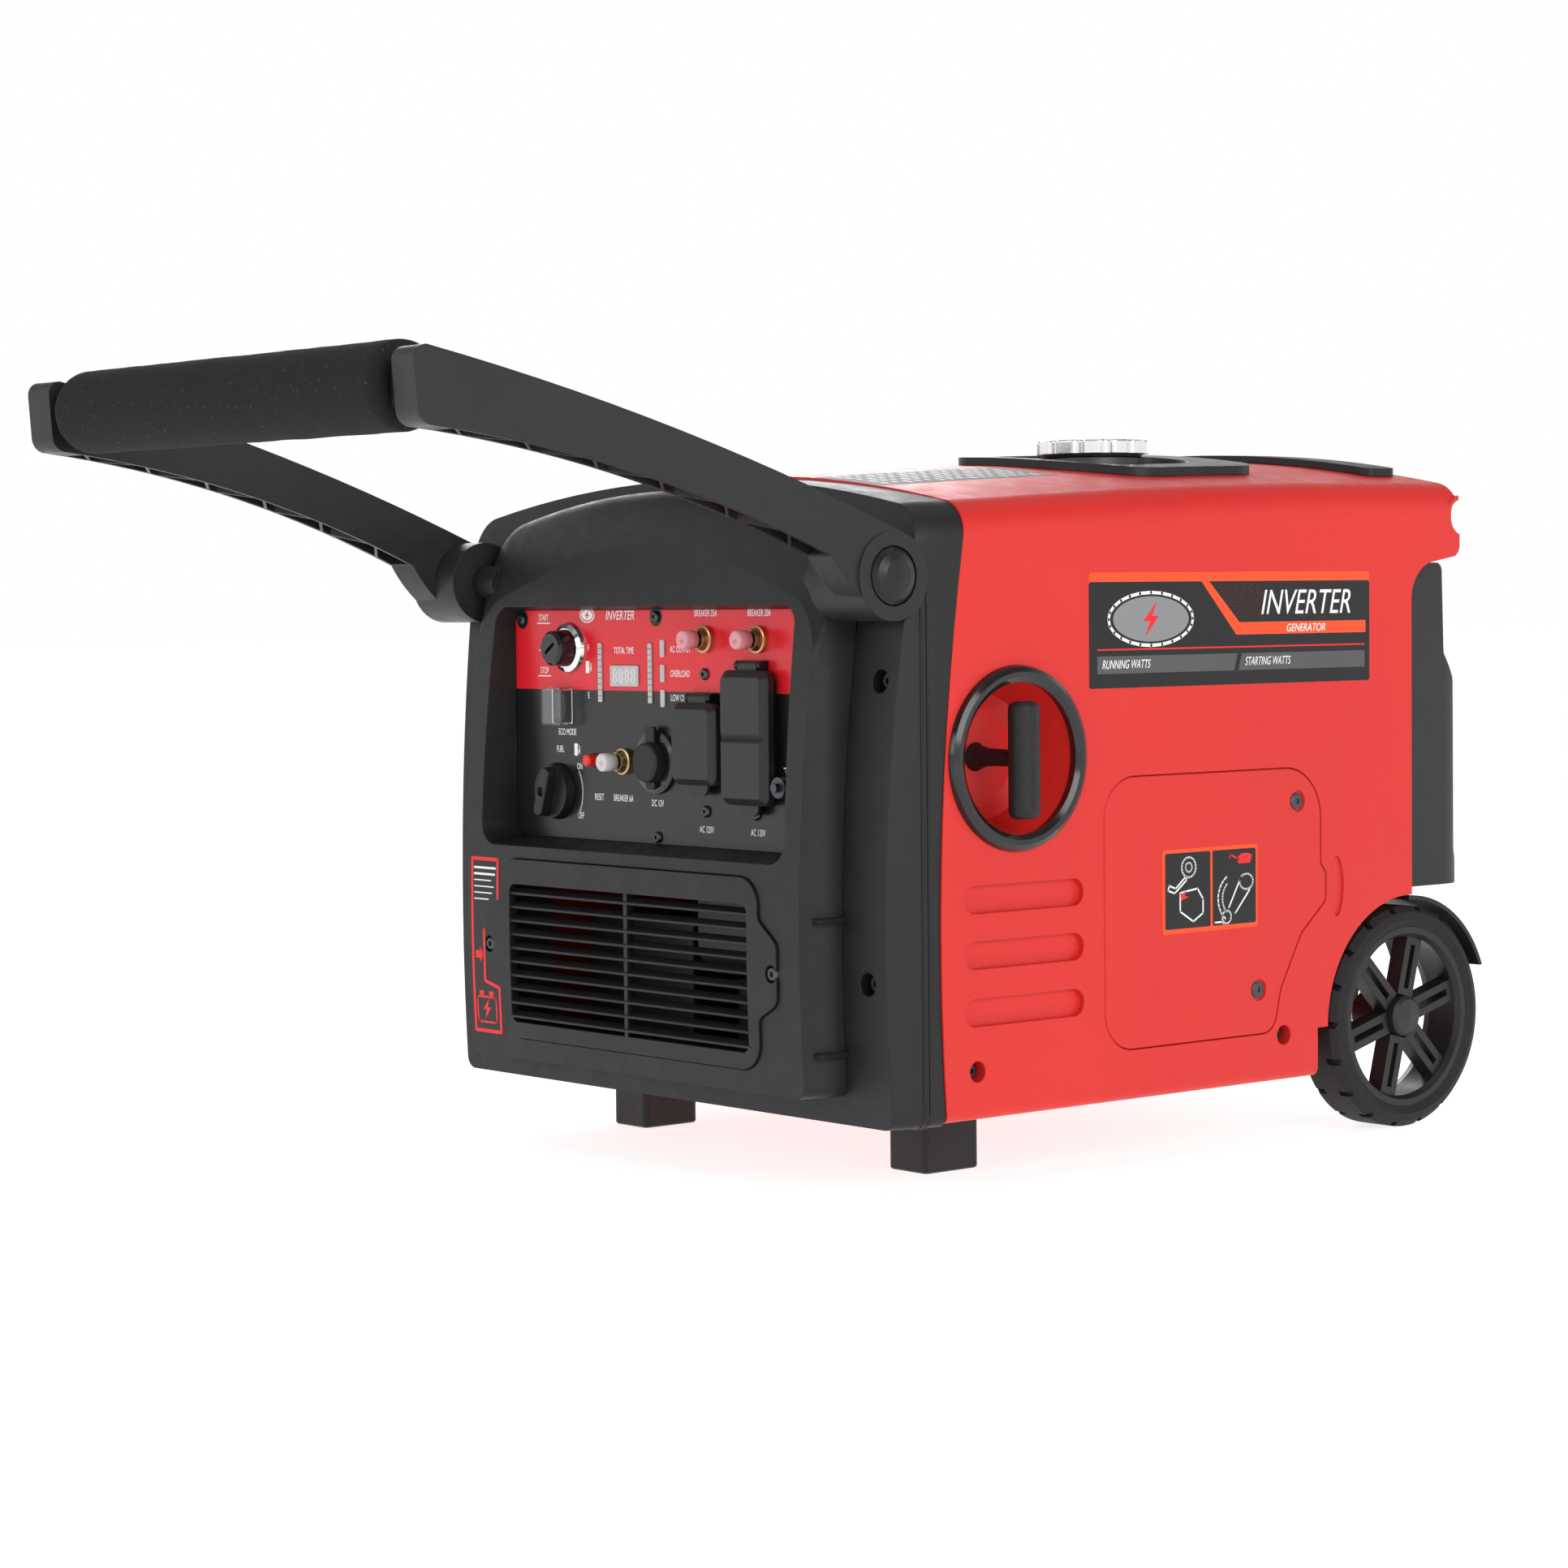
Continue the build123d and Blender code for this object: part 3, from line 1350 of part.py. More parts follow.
# ---- fasteners -----------------------------------------------------------------------------------
def socket_screw(axis, head_radius, head_height, shank_radius, shank_length, hex_radius):
    """Button-head screw: the head stands at the axis origin and the shank runs back from it."""
    with BuildPart() as screw:
        add(turned(axis, [
            (-shank_length, 0), (-shank_length, shank_radius), (0, shank_radius), (0, head_radius),
            (head_height * 0.5, head_radius), (head_height, head_radius * 0.72), (head_height, 0),
        ]))
        with BuildSketch(Plane(axis.position + axis.direction * (head_height + 0.1), z_dir=-axis.direction)):
            RegularPolygon(hex_radius, 6)
        extrude(amount=head_height * 0.7, mode=Mode.SUBTRACT)
    return screw.part


with BuildPart() as case_screws:
    for sign in (1, -1):
        outward = (sign, 0, 0)
        for y, z in casing_screws:
            add(socket_screw(Axis((sign * (half_width - 8.95), y, z), outward), 5.5, 3, 2, 5, 2))
        for x, z in column_screws:
            seat = front_curve_y(frame_nose_y, z) + column_well - 0.05
            add(socket_screw(Axis((sign * x, seat, z), (0, -1, 0)), 6, 4, 2, 8, 2.2))
    for y, z in door_screws:
        add(socket_screw(Axis((half_width - 1.3, y, z), (1, 0, 0)), 5.5, 1.2, 2, 1.2, 2))
    for sign in (1, -1):
        add(socket_screw(
            Axis((sign * ear_screw_x, cover_back_y - 4.05, grille_middle_z + 1.5), (0, -1, 0)), 5, 2.6, 2, 12, 2))
save(case_screws, "case_screws")

with BuildPart() as panel_screw_set:
    for x, z in panel_screws:
        add(socket_screw(Axis((x, panel_y - 0.02, z), (0, -1, 0)), 3.8, 2.2, 1.7, 9, 1.5))
save(panel_screw_set, "panel_screws")
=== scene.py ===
import math

import bmesh
import bpy
from mathutils import Matrix, Vector, noise
from mathutils.bvhtree import BVHTree


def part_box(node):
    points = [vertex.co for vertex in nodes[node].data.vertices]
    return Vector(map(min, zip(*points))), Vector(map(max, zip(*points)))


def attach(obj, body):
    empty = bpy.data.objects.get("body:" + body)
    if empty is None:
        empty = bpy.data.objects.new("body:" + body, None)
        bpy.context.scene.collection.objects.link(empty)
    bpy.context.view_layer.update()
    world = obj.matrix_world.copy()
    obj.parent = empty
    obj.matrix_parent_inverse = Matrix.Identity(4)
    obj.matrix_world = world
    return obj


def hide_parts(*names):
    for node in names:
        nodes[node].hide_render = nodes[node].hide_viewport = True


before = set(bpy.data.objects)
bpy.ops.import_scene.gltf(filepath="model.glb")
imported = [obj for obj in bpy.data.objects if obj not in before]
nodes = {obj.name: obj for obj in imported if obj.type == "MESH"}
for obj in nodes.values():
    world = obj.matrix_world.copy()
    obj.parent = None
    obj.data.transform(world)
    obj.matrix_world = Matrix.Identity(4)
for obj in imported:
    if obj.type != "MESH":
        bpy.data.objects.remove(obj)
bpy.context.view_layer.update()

scene = bpy.context.scene
MM = 0.001


# ---- camera, floor and light ----------------------------------------------------------
camera_place = Vector((1.8994, -1.5978, 0.3627))
camera_yaw = math.radians(50.0)
camera_pitch = math.radians(2.84)
camera_roll = math.radians(-0.58)
camera_lens = 86.2


def make_camera():
    """Three-quarter view of the front and the right-hand side, a little below the handle."""
    ahead = Vector((
        -math.sin(camera_yaw) * math.cos(camera_pitch),
        math.cos(camera_yaw) * math.cos(camera_pitch),
        -math.sin(camera_pitch),
    ))
    level_right = Vector((math.cos(camera_yaw), math.sin(camera_yaw), 0))
    level_up = level_right.cross(ahead)
    right = level_right * math.cos(camera_roll) + level_up * math.sin(camera_roll)
    up = -level_right * math.sin(camera_roll) + level_up * math.cos(camera_roll)
    data = bpy.data.cameras.new("camera")
    data.lens = camera_lens
    data.sensor_width = 36
    camera = bpy.data.objects.new("camera", data)
    camera.matrix_world = Matrix.Translation(camera_place) @ Matrix((right, up, -ahead)).transposed().to_4x4()
    scene.collection.objects.link(camera)
    scene.camera = camera


def area_light(name, place, aim, width, height, power, tint=(1, 1, 1)):
    """Soft rectangular studio light, turned towards a point."""
    data = bpy.data.lights.new(name, "AREA")
    data.shape = "RECTANGLE"
    data.size = width
    data.size_y = height
    data.energy = power
    data.color = tint
    light = bpy.data.objects.new(name, data)
    light.location = place
    light.rotation_euler = (Vector(aim) - Vector(place)).to_track_quat("-Z", "Y").to_euler()
    scene.collection.objects.link(light)


# ---- materials --------------------------------------------------------------------------
def blank_material(name):
    material = bpy.data.materials.new(name)
    material.use_nodes = True
    tree = material.node_tree
    return material, tree, tree.nodes["Principled BSDF"]


def noise_node(tree, scale, detail=3.0, rough=0.5):
    """Noise in the piece's own coordinates, so that it travels with the piece."""
    place = tree.nodes.new("ShaderNodeTexCoord")
    node = tree.nodes.new("ShaderNodeTexNoise")
    node.inputs["Scale"].default_value = scale
    node.inputs["Detail"].default_value = detail
    node.inputs["Roughness"].default_value = rough
    tree.links.new(place.outputs["Object"], node.inputs["Vector"])
    return node.outputs["Fac"]


def remap(tree, value, low, high, from_low=0.3, from_high=0.7):
    node = tree.nodes.new("ShaderNodeMapRange")
    node.inputs["From Min"].default_value = from_low
    node.inputs["From Max"].default_value = from_high
    node.inputs["To Min"].default_value = low
    node.inputs["To Max"].default_value = high
    tree.links.new(value, node.inputs["Value"])
    return node.outputs["Result"]


def mixed(tree, share, first, second):
    """Colour between two others; each is a colour or another node's output."""
    node = tree.nodes.new("ShaderNodeMix")
    node.data_type = "RGBA"
    tree.links.new(share, node.inputs["Factor"])
    for key, colour in (("A", first), ("B", second)):
        socket = [s for s in node.inputs if s.name == key and s.type == "RGBA"][0]
        if isinstance(colour, tuple):
            socket.default_value = (*colour, 1)
        else:
            tree.links.new(colour, socket)
    return [s for s in node.outputs if s.type == "RGBA"][0]


def shade(colour, factor):
    return tuple(min(1.0, c * factor) for c in colour)


def relief(tree, bsdf, height, depth, edge):
    """Fine surface relief on top of slightly softened edges."""
    bump = tree.nodes.new("ShaderNodeBump")
    bump.inputs["Distance"].default_value = depth
    tree.links.new(height, bump.inputs["Height"])
    if edge:
        soft = tree.nodes.new("ShaderNodeBevel")
        soft.samples = 4
        soft.inputs["Radius"].default_value = edge
        tree.links.new(soft.outputs["Normal"], bump.inputs["Normal"])
    tree.links.new(bump.outputs["Normal"], bsdf.inputs["Normal"])


def moulded(
    name, colour, rough, spread=0.06, grain=1400.0, depth=0.00006, edge=0.0008, blotch=0.08, coat=0.0,
):
    """Moulded plastic: slight colour drift, uneven gloss, a fine grain and soft edges."""
    material, tree, bsdf = blank_material(name)
    drift = noise_node(tree, 7.0, 4.0)
    share = remap(tree, drift, 0, 1)
    colours = mixed(tree, share, shade(colour, 1 - blotch), shade(colour, 1 + blotch))
    tree.links.new(colours, bsdf.inputs["Base Color"])
    scuff = noise_node(tree, 60.0, 6.0, 0.65)
    tree.links.new(remap(tree, scuff, rough - spread, rough + spread), bsdf.inputs["Roughness"])
    relief(tree, bsdf, noise_node(tree, grain, 2.0), depth, edge)
    bsdf.inputs["Specular IOR Level"].default_value = 0.34
    bsdf.inputs["Coat Weight"].default_value = coat
    bsdf.inputs["Coat Roughness"].default_value = 0.15
    return material


def metal(name, colour, rough, brushed=(1, 1, 1), scale=300.0, depth=0.00002, edge=0.0004, spread=0.08):
    """Metal with streaks along the direction in which its noise is stretched."""
    material, tree, bsdf = blank_material(name)
    bsdf.inputs["Metallic"].default_value = 1.0
    place = tree.nodes.new("ShaderNodeTexCoord")
    stretch = tree.nodes.new("ShaderNodeMapping")
    stretch.inputs["Scale"].default_value = brushed
    streak = tree.nodes.new("ShaderNodeTexNoise")
    streak.inputs["Scale"].default_value = scale
    streak.inputs["Detail"].default_value = 4.0
    tree.links.new(place.outputs["Object"], stretch.inputs["Vector"])
    tree.links.new(stretch.outputs["Vector"], streak.inputs["Vector"])
    share = remap(tree, streak.outputs["Fac"], 0, 1)
    tree.links.new(mixed(tree, share, shade(colour, 0.86), colour), bsdf.inputs["Base Color"])
    gloss = remap(tree, streak.outputs["Fac"], rough - spread, rough + spread)
    tree.links.new(gloss, bsdf.inputs["Roughness"])
    relief(tree, bsdf, streak.outputs["Fac"], depth, edge)
    return material


def rubber(name, colour, rough, grain, depth, fleck=0.0):
    """Rubber or foam: matte, grainy, with optional pale flecks of dust."""
    material, tree, bsdf = blank_material(name)
    cells = noise_node(tree, grain, 5.0, 0.7)
    share = remap(tree, cells, 0, 1)
    base = mixed(tree, share, shade(colour, 0.6), shade(colour, 1.5))
    if fleck:
        dust = remap(tree, noise_node(tree, 420.0, 2.0), 0, fleck, 0.66, 0.74)
        base = mixed(tree, dust, base, (0.10, 0.095, 0.09))
    tree.links.new(base, bsdf.inputs["Base Color"])
    tree.links.new(remap(tree, cells, rough - 0.08, rough + 0.05), bsdf.inputs["Roughness"])
    relief(tree, bsdf, cells, depth, 0.0)
    bsdf.inputs["Specular IOR Level"].default_value = 0.3
    return material


def clear(name, colour, rough, see_through):
    material, tree, bsdf = blank_material(name)
    haze = noise_node(tree, 220.0, 4.0)
    tint = mixed(tree, remap(tree, haze, 0, 1), colour, shade(colour, 0.9))
    tree.links.new(tint, bsdf.inputs["Base Color"])
    tree.links.new(remap(tree, haze, rough * 0.7, rough * 1.3), bsdf.inputs["Roughness"])
    bsdf.inputs["Transmission Weight"].default_value = see_through
    bsdf.inputs["IOR"].default_value = 1.4
    return material


def split_finish(
    name, axis, edge_at, below, above, rough_below, rough_above, metal_below=0.0, metal_above=0.0,
):
    """Two finishes on one piece, split at a distance from the middle along one of its axes."""
    material, tree, bsdf = blank_material(name)
    place = tree.nodes.new("ShaderNodeTexCoord")
    parts = tree.nodes.new("ShaderNodeSeparateXYZ")
    tree.links.new(place.outputs["Object"], parts.inputs["Vector"])
    size = tree.nodes.new("ShaderNodeMath")
    size.operation = "ABSOLUTE"
    tree.links.new(parts.outputs[axis], size.inputs[0])
    step = remap(tree, size.outputs[0], 0, 1, edge_at - 0.0001, edge_at + 0.0001)
    drift = remap(tree, noise_node(tree, 40.0, 4.0), 0, 1)
    low = mixed(tree, drift, shade(below, 0.92), below)
    high = mixed(tree, drift, shade(above, 0.94), above)
    tree.links.new(mixed(tree, step, low, high), bsdf.inputs["Base Color"])
    tree.links.new(remap(tree, step, rough_below, rough_above, 0, 1), bsdf.inputs["Roughness"])
    tree.links.new(remap(tree, step, metal_below, metal_above, 0, 1), bsdf.inputs["Metallic"])
    relief(tree, bsdf, noise_node(tree, 1200.0), 0.00002, 0.0004)
    return material


RED = (0.66, 0.024, 0.019)
BLACK = (0.010, 0.010, 0.011)
red_shell = moulded("red_shell", RED, 0.40, 0.07, 1100.0, 0.00005, 0.0012, 0.04)
black_textured = moulded(
    "black_textured", (0.0105, 0.0105, 0.0115), 0.44, 0.08, 1500.0, 0.00010, 0.0012, 0.16,
)
black_smooth = moulded("black_smooth", BLACK, 0.34, 0.07, 900.0, 0.00003, 0.0006, 0.1)
black_gloss = moulded("black_gloss", (0.010, 0.010, 0.011), 0.14, 0.05, 500.0, 0.00001, 0.0006, 0.1, 0.4)
flap_black = moulded("flap_black", (0.022, 0.022, 0.024), 0.30, 0.06, 900.0, 0.00003, 0.0008, 0.1)
charcoal = moulded("charcoal", (0.020, 0.0205, 0.023), 0.42, 0.07, 1300.0, 0.00008, 0.0012, 0.12)
handle_black = moulded("handle_black", (0.016, 0.0165, 0.018), 0.42, 0.10, 1500.0, 0.00010, 0.0010, 0.22)
rim_black = moulded("rim_black", (0.015, 0.015, 0.016), 0.38, 0.08, 1300.0, 0.00006, 0.0008, 0.15)
chrome = metal("chrome", (0.86, 0.86, 0.88), 0.12, scale=90.0, depth=0.000004, spread=0.06)
steel = metal("steel", (0.50, 0.50, 0.51), 0.34, (1, 12, 12), 160.0)
zinc_dark = metal("zinc_dark", (0.10, 0.10, 0.11), 0.36, scale=500.0)
brass_bush = metal("brass_bush", (0.60, 0.45, 0.22), 0.32, (1, 30, 1), 60.0)
cast_alloy = metal("cast_alloy", (0.12, 0.12, 0.125), 0.5, scale=700.0, depth=0.0001)
tyre_rubber = rubber("tyre_rubber", (0.014, 0.014, 0.0145), 0.70, 700.0, 0.00018, 0.25)
soft_rubber = rubber("soft_rubber", (0.014, 0.014, 0.015), 0.52, 900.0, 0.00006)
foam = rubber("foam", (0.010, 0.010, 0.011), 0.92, 1100.0, 0.00035, 0.5)
panel_film = split_finish(
    "panel_film", "Z", 0.3035, (0.008, 0.008, 0.009), (0.74, 0.012, 0.022), 0.26, 0.26,
)
cap_finish = split_finish("cap_finish", "Z", 0.4562, BLACK, (0.86, 0.86, 0.88), 0.4, 0.14, 0.0, 1.0)
axle_finish = split_finish(
    "axle_finish", "X", 0.2185, (0.5, 0.5, 0.51), (0.012, 0.012, 0.013), 0.34, 0.45, 1.0, 0.0,
)
boot_clear = clear("boot_clear", (0.92, 0.84, 0.85), 0.16, 0.35)
boot_pink = clear("boot_pink", (0.95, 0.42, 0.46), 0.18, 0.25)
cover_clear = clear("cover_clear", (0.97, 0.97, 0.98), 0.06, 0.96)
lens_grey = clear("lens_grey", (0.62, 0.60, 0.60), 0.22, 0.15)
reset_red = moulded("reset_red", (0.75, 0.02, 0.015), 0.2, 0.05, 400.0, 0.00001, 0.0004, 0.06, 0.3)
print_white = moulded("print_white", (0.86, 0.86, 0.86), 0.38, 0.04, 900.0, 0.00001, 0.0, 0.03)
print_red = moulded("print_red", (0.80, 0.014, 0.016), 0.34, 0.04, 900.0, 0.00001, 0.0, 0.03)
print_orange = moulded("print_orange", (0.90, 0.075, 0.012), 0.34, 0.04, 900.0, 0.00001, 0.0, 0.03)
print_black = moulded("print_black", (0.009, 0.009, 0.010), 0.26, 0.04, 900.0, 0.00001, 0.0, 0.05)
print_grey = moulded("print_grey", (0.085, 0.085, 0.09), 0.34, 0.04, 900.0, 0.00001, 0.0, 0.06)
print_brown = moulded("print_brown", (0.09, 0.012, 0.008), 0.34, 0.04, 900.0, 0.00001, 0.0, 0.1)
plate_grey = moulded("plate_grey", (0.22, 0.22, 0.225), 0.55, 0.04, 900.0, 0.00001, 0.0, 0.04)
plate_silver = metal("plate_silver", (0.34, 0.34, 0.35), 0.4, (1, 1, 1), 900.0, 0.000004, 0.0)

finishes = {
    red_shell: ["right_shell", "left_shell", "side_door"],
    black_textured: ["front_frame", "front_bezel", "battery_cover", "rear_trim", "base_pan", "front_feet"],
    black_smooth: [
        "fuel_tray", "axle_brackets", "ac_outlet_single", "ac_outlet_duplex", "fuel_knob", "eco_rocker",
        "flap_hinge_brackets", "pivot_caps",
    ],
    black_gloss: ["starter_ring", "ignition_barrel", "dc_socket"],
    flap_black: ["ac_flap_single", "ac_flap_duplex"],
    charcoal: ["rear_cover", "recoil_housing", "intake", "battery"],
    handle_black: ["handle_arm_right", "handle_arm_left", "handle_tube"],
    rim_black: ["right_rim", "left_rim"],
    tyre_rubber: ["right_tyre", "left_tyre"],
    soft_rubber: ["dc_cap", "starter_handle", "engine_mounts", "grip_foam"],
    chrome: ["ignition_ring"],
    cap_finish: ["fuel_cap"],
    steel: ["exhaust_outlet", "pivot_pins"],
    axle_finish: ["axle"],
    zinc_dark: ["case_screws", "panel_screws", "ground_terminal"],
    brass_bush: ["breaker_bushes"],
    cast_alloy: [
        "crankcase", "cylinder_head", "muffler", "inverter_module", "fuel_tank", "engine_rotor",
        "alternator_stator",
    ],
    panel_film: ["control_panel"],
    cover_clear: ["eco_cover"],
    lens_grey: ["display_lenses"],
    reset_red: ["reset_button"],
    boot_clear: ["breaker_button_6a", "breaker_button_20a", "breaker_button_25a"],
}
for material, names in finishes.items():
    for node_name in names:
        mesh = nodes[node_name].data
        mesh.materials.clear()
        mesh.materials.append(material)


# ---- making pieces ------------------------------------------------------------------------
def piece(name, bm, material, body, smooth=False):
    """Turn a bmesh into a named piece that rides on a body."""
    bmesh.ops.recalc_face_normals(bm, faces=bm.faces)
    mesh = bpy.data.meshes.new(name)
    bm.to_mesh(mesh)
    bm.free()
    mesh.materials.append(material)
    for polygon in mesh.polygons:
        polygon.use_smooth = smooth
    made = bpy.data.objects.new(name, mesh)
    scene.collection.objects.link(made)
    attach(made, body)
    return made


def add_polygon(flat, points):
    flat.faces.new([flat.verts.new((u, v, 0)) for u, v in points])


def add_disc(flat, centre, radius, steps=32, squash=1.0):
    turns = [2 * math.pi * i / steps for i in range(steps)]
    add_polygon(flat, [
        (centre[0] + radius * math.cos(t), centre[1] + radius * squash * math.sin(t)) for t in turns
    ])


def add_ribbon(flat, points, width, closed=False):
    """Line of even width through points, with round joints."""
    ends = points + points[:1] if closed else points
    for (u0, v0), (u1, v1) in zip(ends, ends[1:]):
        length = math.hypot(u1 - u0, v1 - v0)
        du, dv = (v1 - v0) / length * width / 2, -(u1 - u0) / length * width / 2
        add_polygon(flat, [(u0 + du, v0 + dv), (u1 + du, v1 + dv), (u1 - du, v1 - dv), (u0 - du, v0 - dv)])
    for point in points:
        add_disc(flat, point, width / 2, 10)


def rounded_box(low, high, radius, steps=5):
    """Corner points of a rectangle with round corners."""
    (u0, v0), (u1, v1) = low, high
    points = []
    for cu, cv, start in ((u1, v1, 0), (u0, v1, 90), (u0, v0, 180), (u1, v0, 270)):
        mu = cu - math.copysign(radius, cu - (u0 + u1) / 2)
        mv = cv - math.copysign(radius, cv - (v0 + v1) / 2)
        for i in range(steps + 1):
            t = math.radians(start + 90 * i / steps)
            points.append((mu + radius * math.cos(t), mv + radius * math.sin(t)))
    return points


def arc_points(centre, radius, start, end, steps=24, squash=1.0):
    turns = [math.radians(start + (end - start) * i / steps) for i in range(steps + 1)]
    return [(centre[0] + radius * math.cos(t), centre[1] + radius * squash * math.sin(t)) for t in turns]


def add_text(flat, words, place, height, condense=0.62, slant=0.0, align="CENTER"):
    """Flat filled lettering, narrowed and slanted as asked."""
    curve = bpy.data.curves.new("words", "FONT")
    curve.body = words
    curve.size = height / 0.72
    curve.align_x = align
    holder = bpy.data.objects.new("words", curve)
    scene.collection.objects.link(holder)
    bpy.context.view_layer.update()
    mesh = bpy.data.meshes.new_from_object(holder.evaluated_get(bpy.context.evaluated_depsgraph_get()))
    made = [
        flat.verts.new((place[0] + v.co.x * condense + v.co.y * slant, place[1] + v.co.y, 0))
        for v in mesh.vertices
    ]
    for polygon in mesh.polygons:
        flat.faces.new([made[i] for i in polygon.vertices])
    bpy.data.objects.remove(holder)
    bpy.data.meshes.remove(mesh)


def printed(name, flat, place, low, high, material, body, cut=0.0):
    """Give flat artwork a thickness and lay it on a surface through a placing function, in mm."""
    if cut:
        heights = [v.co.y for v in flat.verts]
        line = math.floor(min(heights) / cut) * cut
        while line < max(heights):
            everything = flat.verts[:] + flat.edges[:] + flat.faces[:]
            bmesh.ops.bisect_plane(flat, geom=everything, plane_co=(0, line, 0), plane_no=(0, 1, 0))
            line += cut
    bm = bmesh.new()
    top = {v: bm.verts.new(place(v.co.x, v.co.y, high)) for v in flat.verts}
    base = {v: bm.verts.new(place(v.co.x, v.co.y, low)) for v in flat.verts}
    for face in flat.faces:
        bm.faces.new([top[v] for v in face.verts])
        bm.faces.new([base[v] for v in reversed(face.verts)])
    for edge in flat.edges:
        if len(edge.link_faces) == 1:
            a, b = edge.verts
            bm.faces.new([top[a], top[b], base[b], base[a]])
    flat.free()
    return piece(name, bm, material, body)


def lathe(name, profile, origin, direction, material, body, steps=48):
    """Turned piece: profile points are (distance along, radius) in mm from an origin in mm."""
    along = Vector(direction).normalized()
    first = along.orthogonal().normalized()
    second = along.cross(first)
    bm = bmesh.new()
    rings = []
    for distance, radius in profile:
        centre = Vector(origin) + along * distance
        ring = []
        for i in range(steps):
            t = 2 * math.pi * i / steps
            outward = first * math.cos(t) + second * math.sin(t)
            ring.append(bm.verts.new((centre + outward * max(radius, 0.01)) * MM))
        rings.append(ring)
    for lower, upper in zip(rings, rings[1:]):
        for i in range(steps):
            j = (i + 1) % steps
            bm.faces.new([lower[i], lower[j], upper[j], upper[i]])
    bm.faces.new(rings[0])
    bm.faces.new(rings[-1])
    return piece(name, bm, material, body, True)


def on_side(u, v, h):
    """Artwork on the right-hand side: u is along the machine, v is up."""
    return Vector((side_face_x + h, u, v)) * MM


def on_panel(u, v, h):
    """Artwork on the control panel: u is across, v is up."""
    return Vector((u, panel_face_y - h, v)) * MM


side_face_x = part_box("side_door")[1].x / MM
panel_face_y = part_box("control_panel")[0].y / MM


# ---- artwork on the side ------------------------------------------------------------------
decal_low, decal_high = (51.0, 304.0), (313.0, 376.5)
band_low_z = 370.5


def side_label():
    """Main side label: orange band, black field, badge, slanted flash and two rating bars."""
    flat = bmesh.new()
    add_polygon(flat, rounded_box(decal_low, decal_high, 2.5))
    printed("side_label_band", flat, on_side, 0.02, 0.12, print_orange, "casing")
    flat = bmesh.new()
    add_polygon(flat, rounded_box(decal_low, (decal_high[0], band_low_z), 2.0))
    printed("side_label_field", flat, on_side, 0.12, 0.2, print_black, "casing")
    flat = bmesh.new()
    badge = (106.0, 347.0)
    add_ribbon(flat, arc_points(badge, 38, 0, 345, 23, 0.44), 2.0, True)
    printed("badge_rim", flat, on_side, 0.2, 0.28, print_white, "casing")
    flat = bmesh.new()
    add_disc(flat, badge, 34, 48, 0.42)
    printed("badge_plate", flat, on_side, 0.2, 0.3, plate_silver, "casing")
    flat = bmesh.new()
    bolt = [(5, 11), (-7, -1.5), (-1, -1.5), (-5, -11), (7, 2), (1, 2)]
    add_polygon(flat, [(badge[0] + u, badge[1] + v) for u, v in bolt])
    printed("badge_bolt", flat, on_side, 0.3, 0.38, print_red, "casing")
    flat = bmesh.new()
    add_polygon(flat, [(152, band_low_z), (159, band_low_z), (187, 344), (309, 344), (309, 336), (184, 336)])
    printed("label_flash", flat, on_side, 0.2, 0.28, print_orange, "casing")
    flat = bmesh.new()
    for row in range(4):
        for column in range(6):
            u = 170 + column * 7.0 + (row % 2) * 3.5 + row * 2.2
            v = 366 - row * 5.6
            if u < 212:
                add_ribbon(flat, arc_points((u, v), 2.6, 30, 330, 5), 0.7, True)
    printed("label_mesh", flat, on_side, 0.2, 0.26, print_brown, "casing")
    flat = bmesh.new()
    add_text(flat, "INVERTER", (250, 349), 16.5, 0.86, 0.24)
    add_text(flat, "GENERATOR", (250, 337.5), 5.2, 0.9, 0.24)
    printed("label_words", flat, on_side, 0.28, 0.36, print_white, "casing")
    flat = bmesh.new()
    add_polygon(flat, [(58, 328.6), (308, 328.6), (308, 327.6), (58, 327.6)])
    printed("label_rule", flat, on_side, 0.2, 0.28, print_red, "casing")
    flat = bmesh.new()
    add_polygon(flat, [(58, 324), (185, 324), (182, 313), (58, 313)])
    add_polygon(flat, [(189, 324), (308, 324), (308, 313), (186, 313)])
    printed("label_bars", flat, on_side, 0.2, 0.28, print_grey, "casing")
    flat = bmesh.new()
    add_text(flat, "RUNNING WATTS", (62, 316.2), 5.6, 0.66, 0.2, "LEFT")
    add_text(flat, "STARTING WATTS", (192, 316.2), 5.6, 0.66, 0.2, "LEFT")
    printed("label_bar_words", flat, on_side, 0.28, 0.34, print_white, "casing")


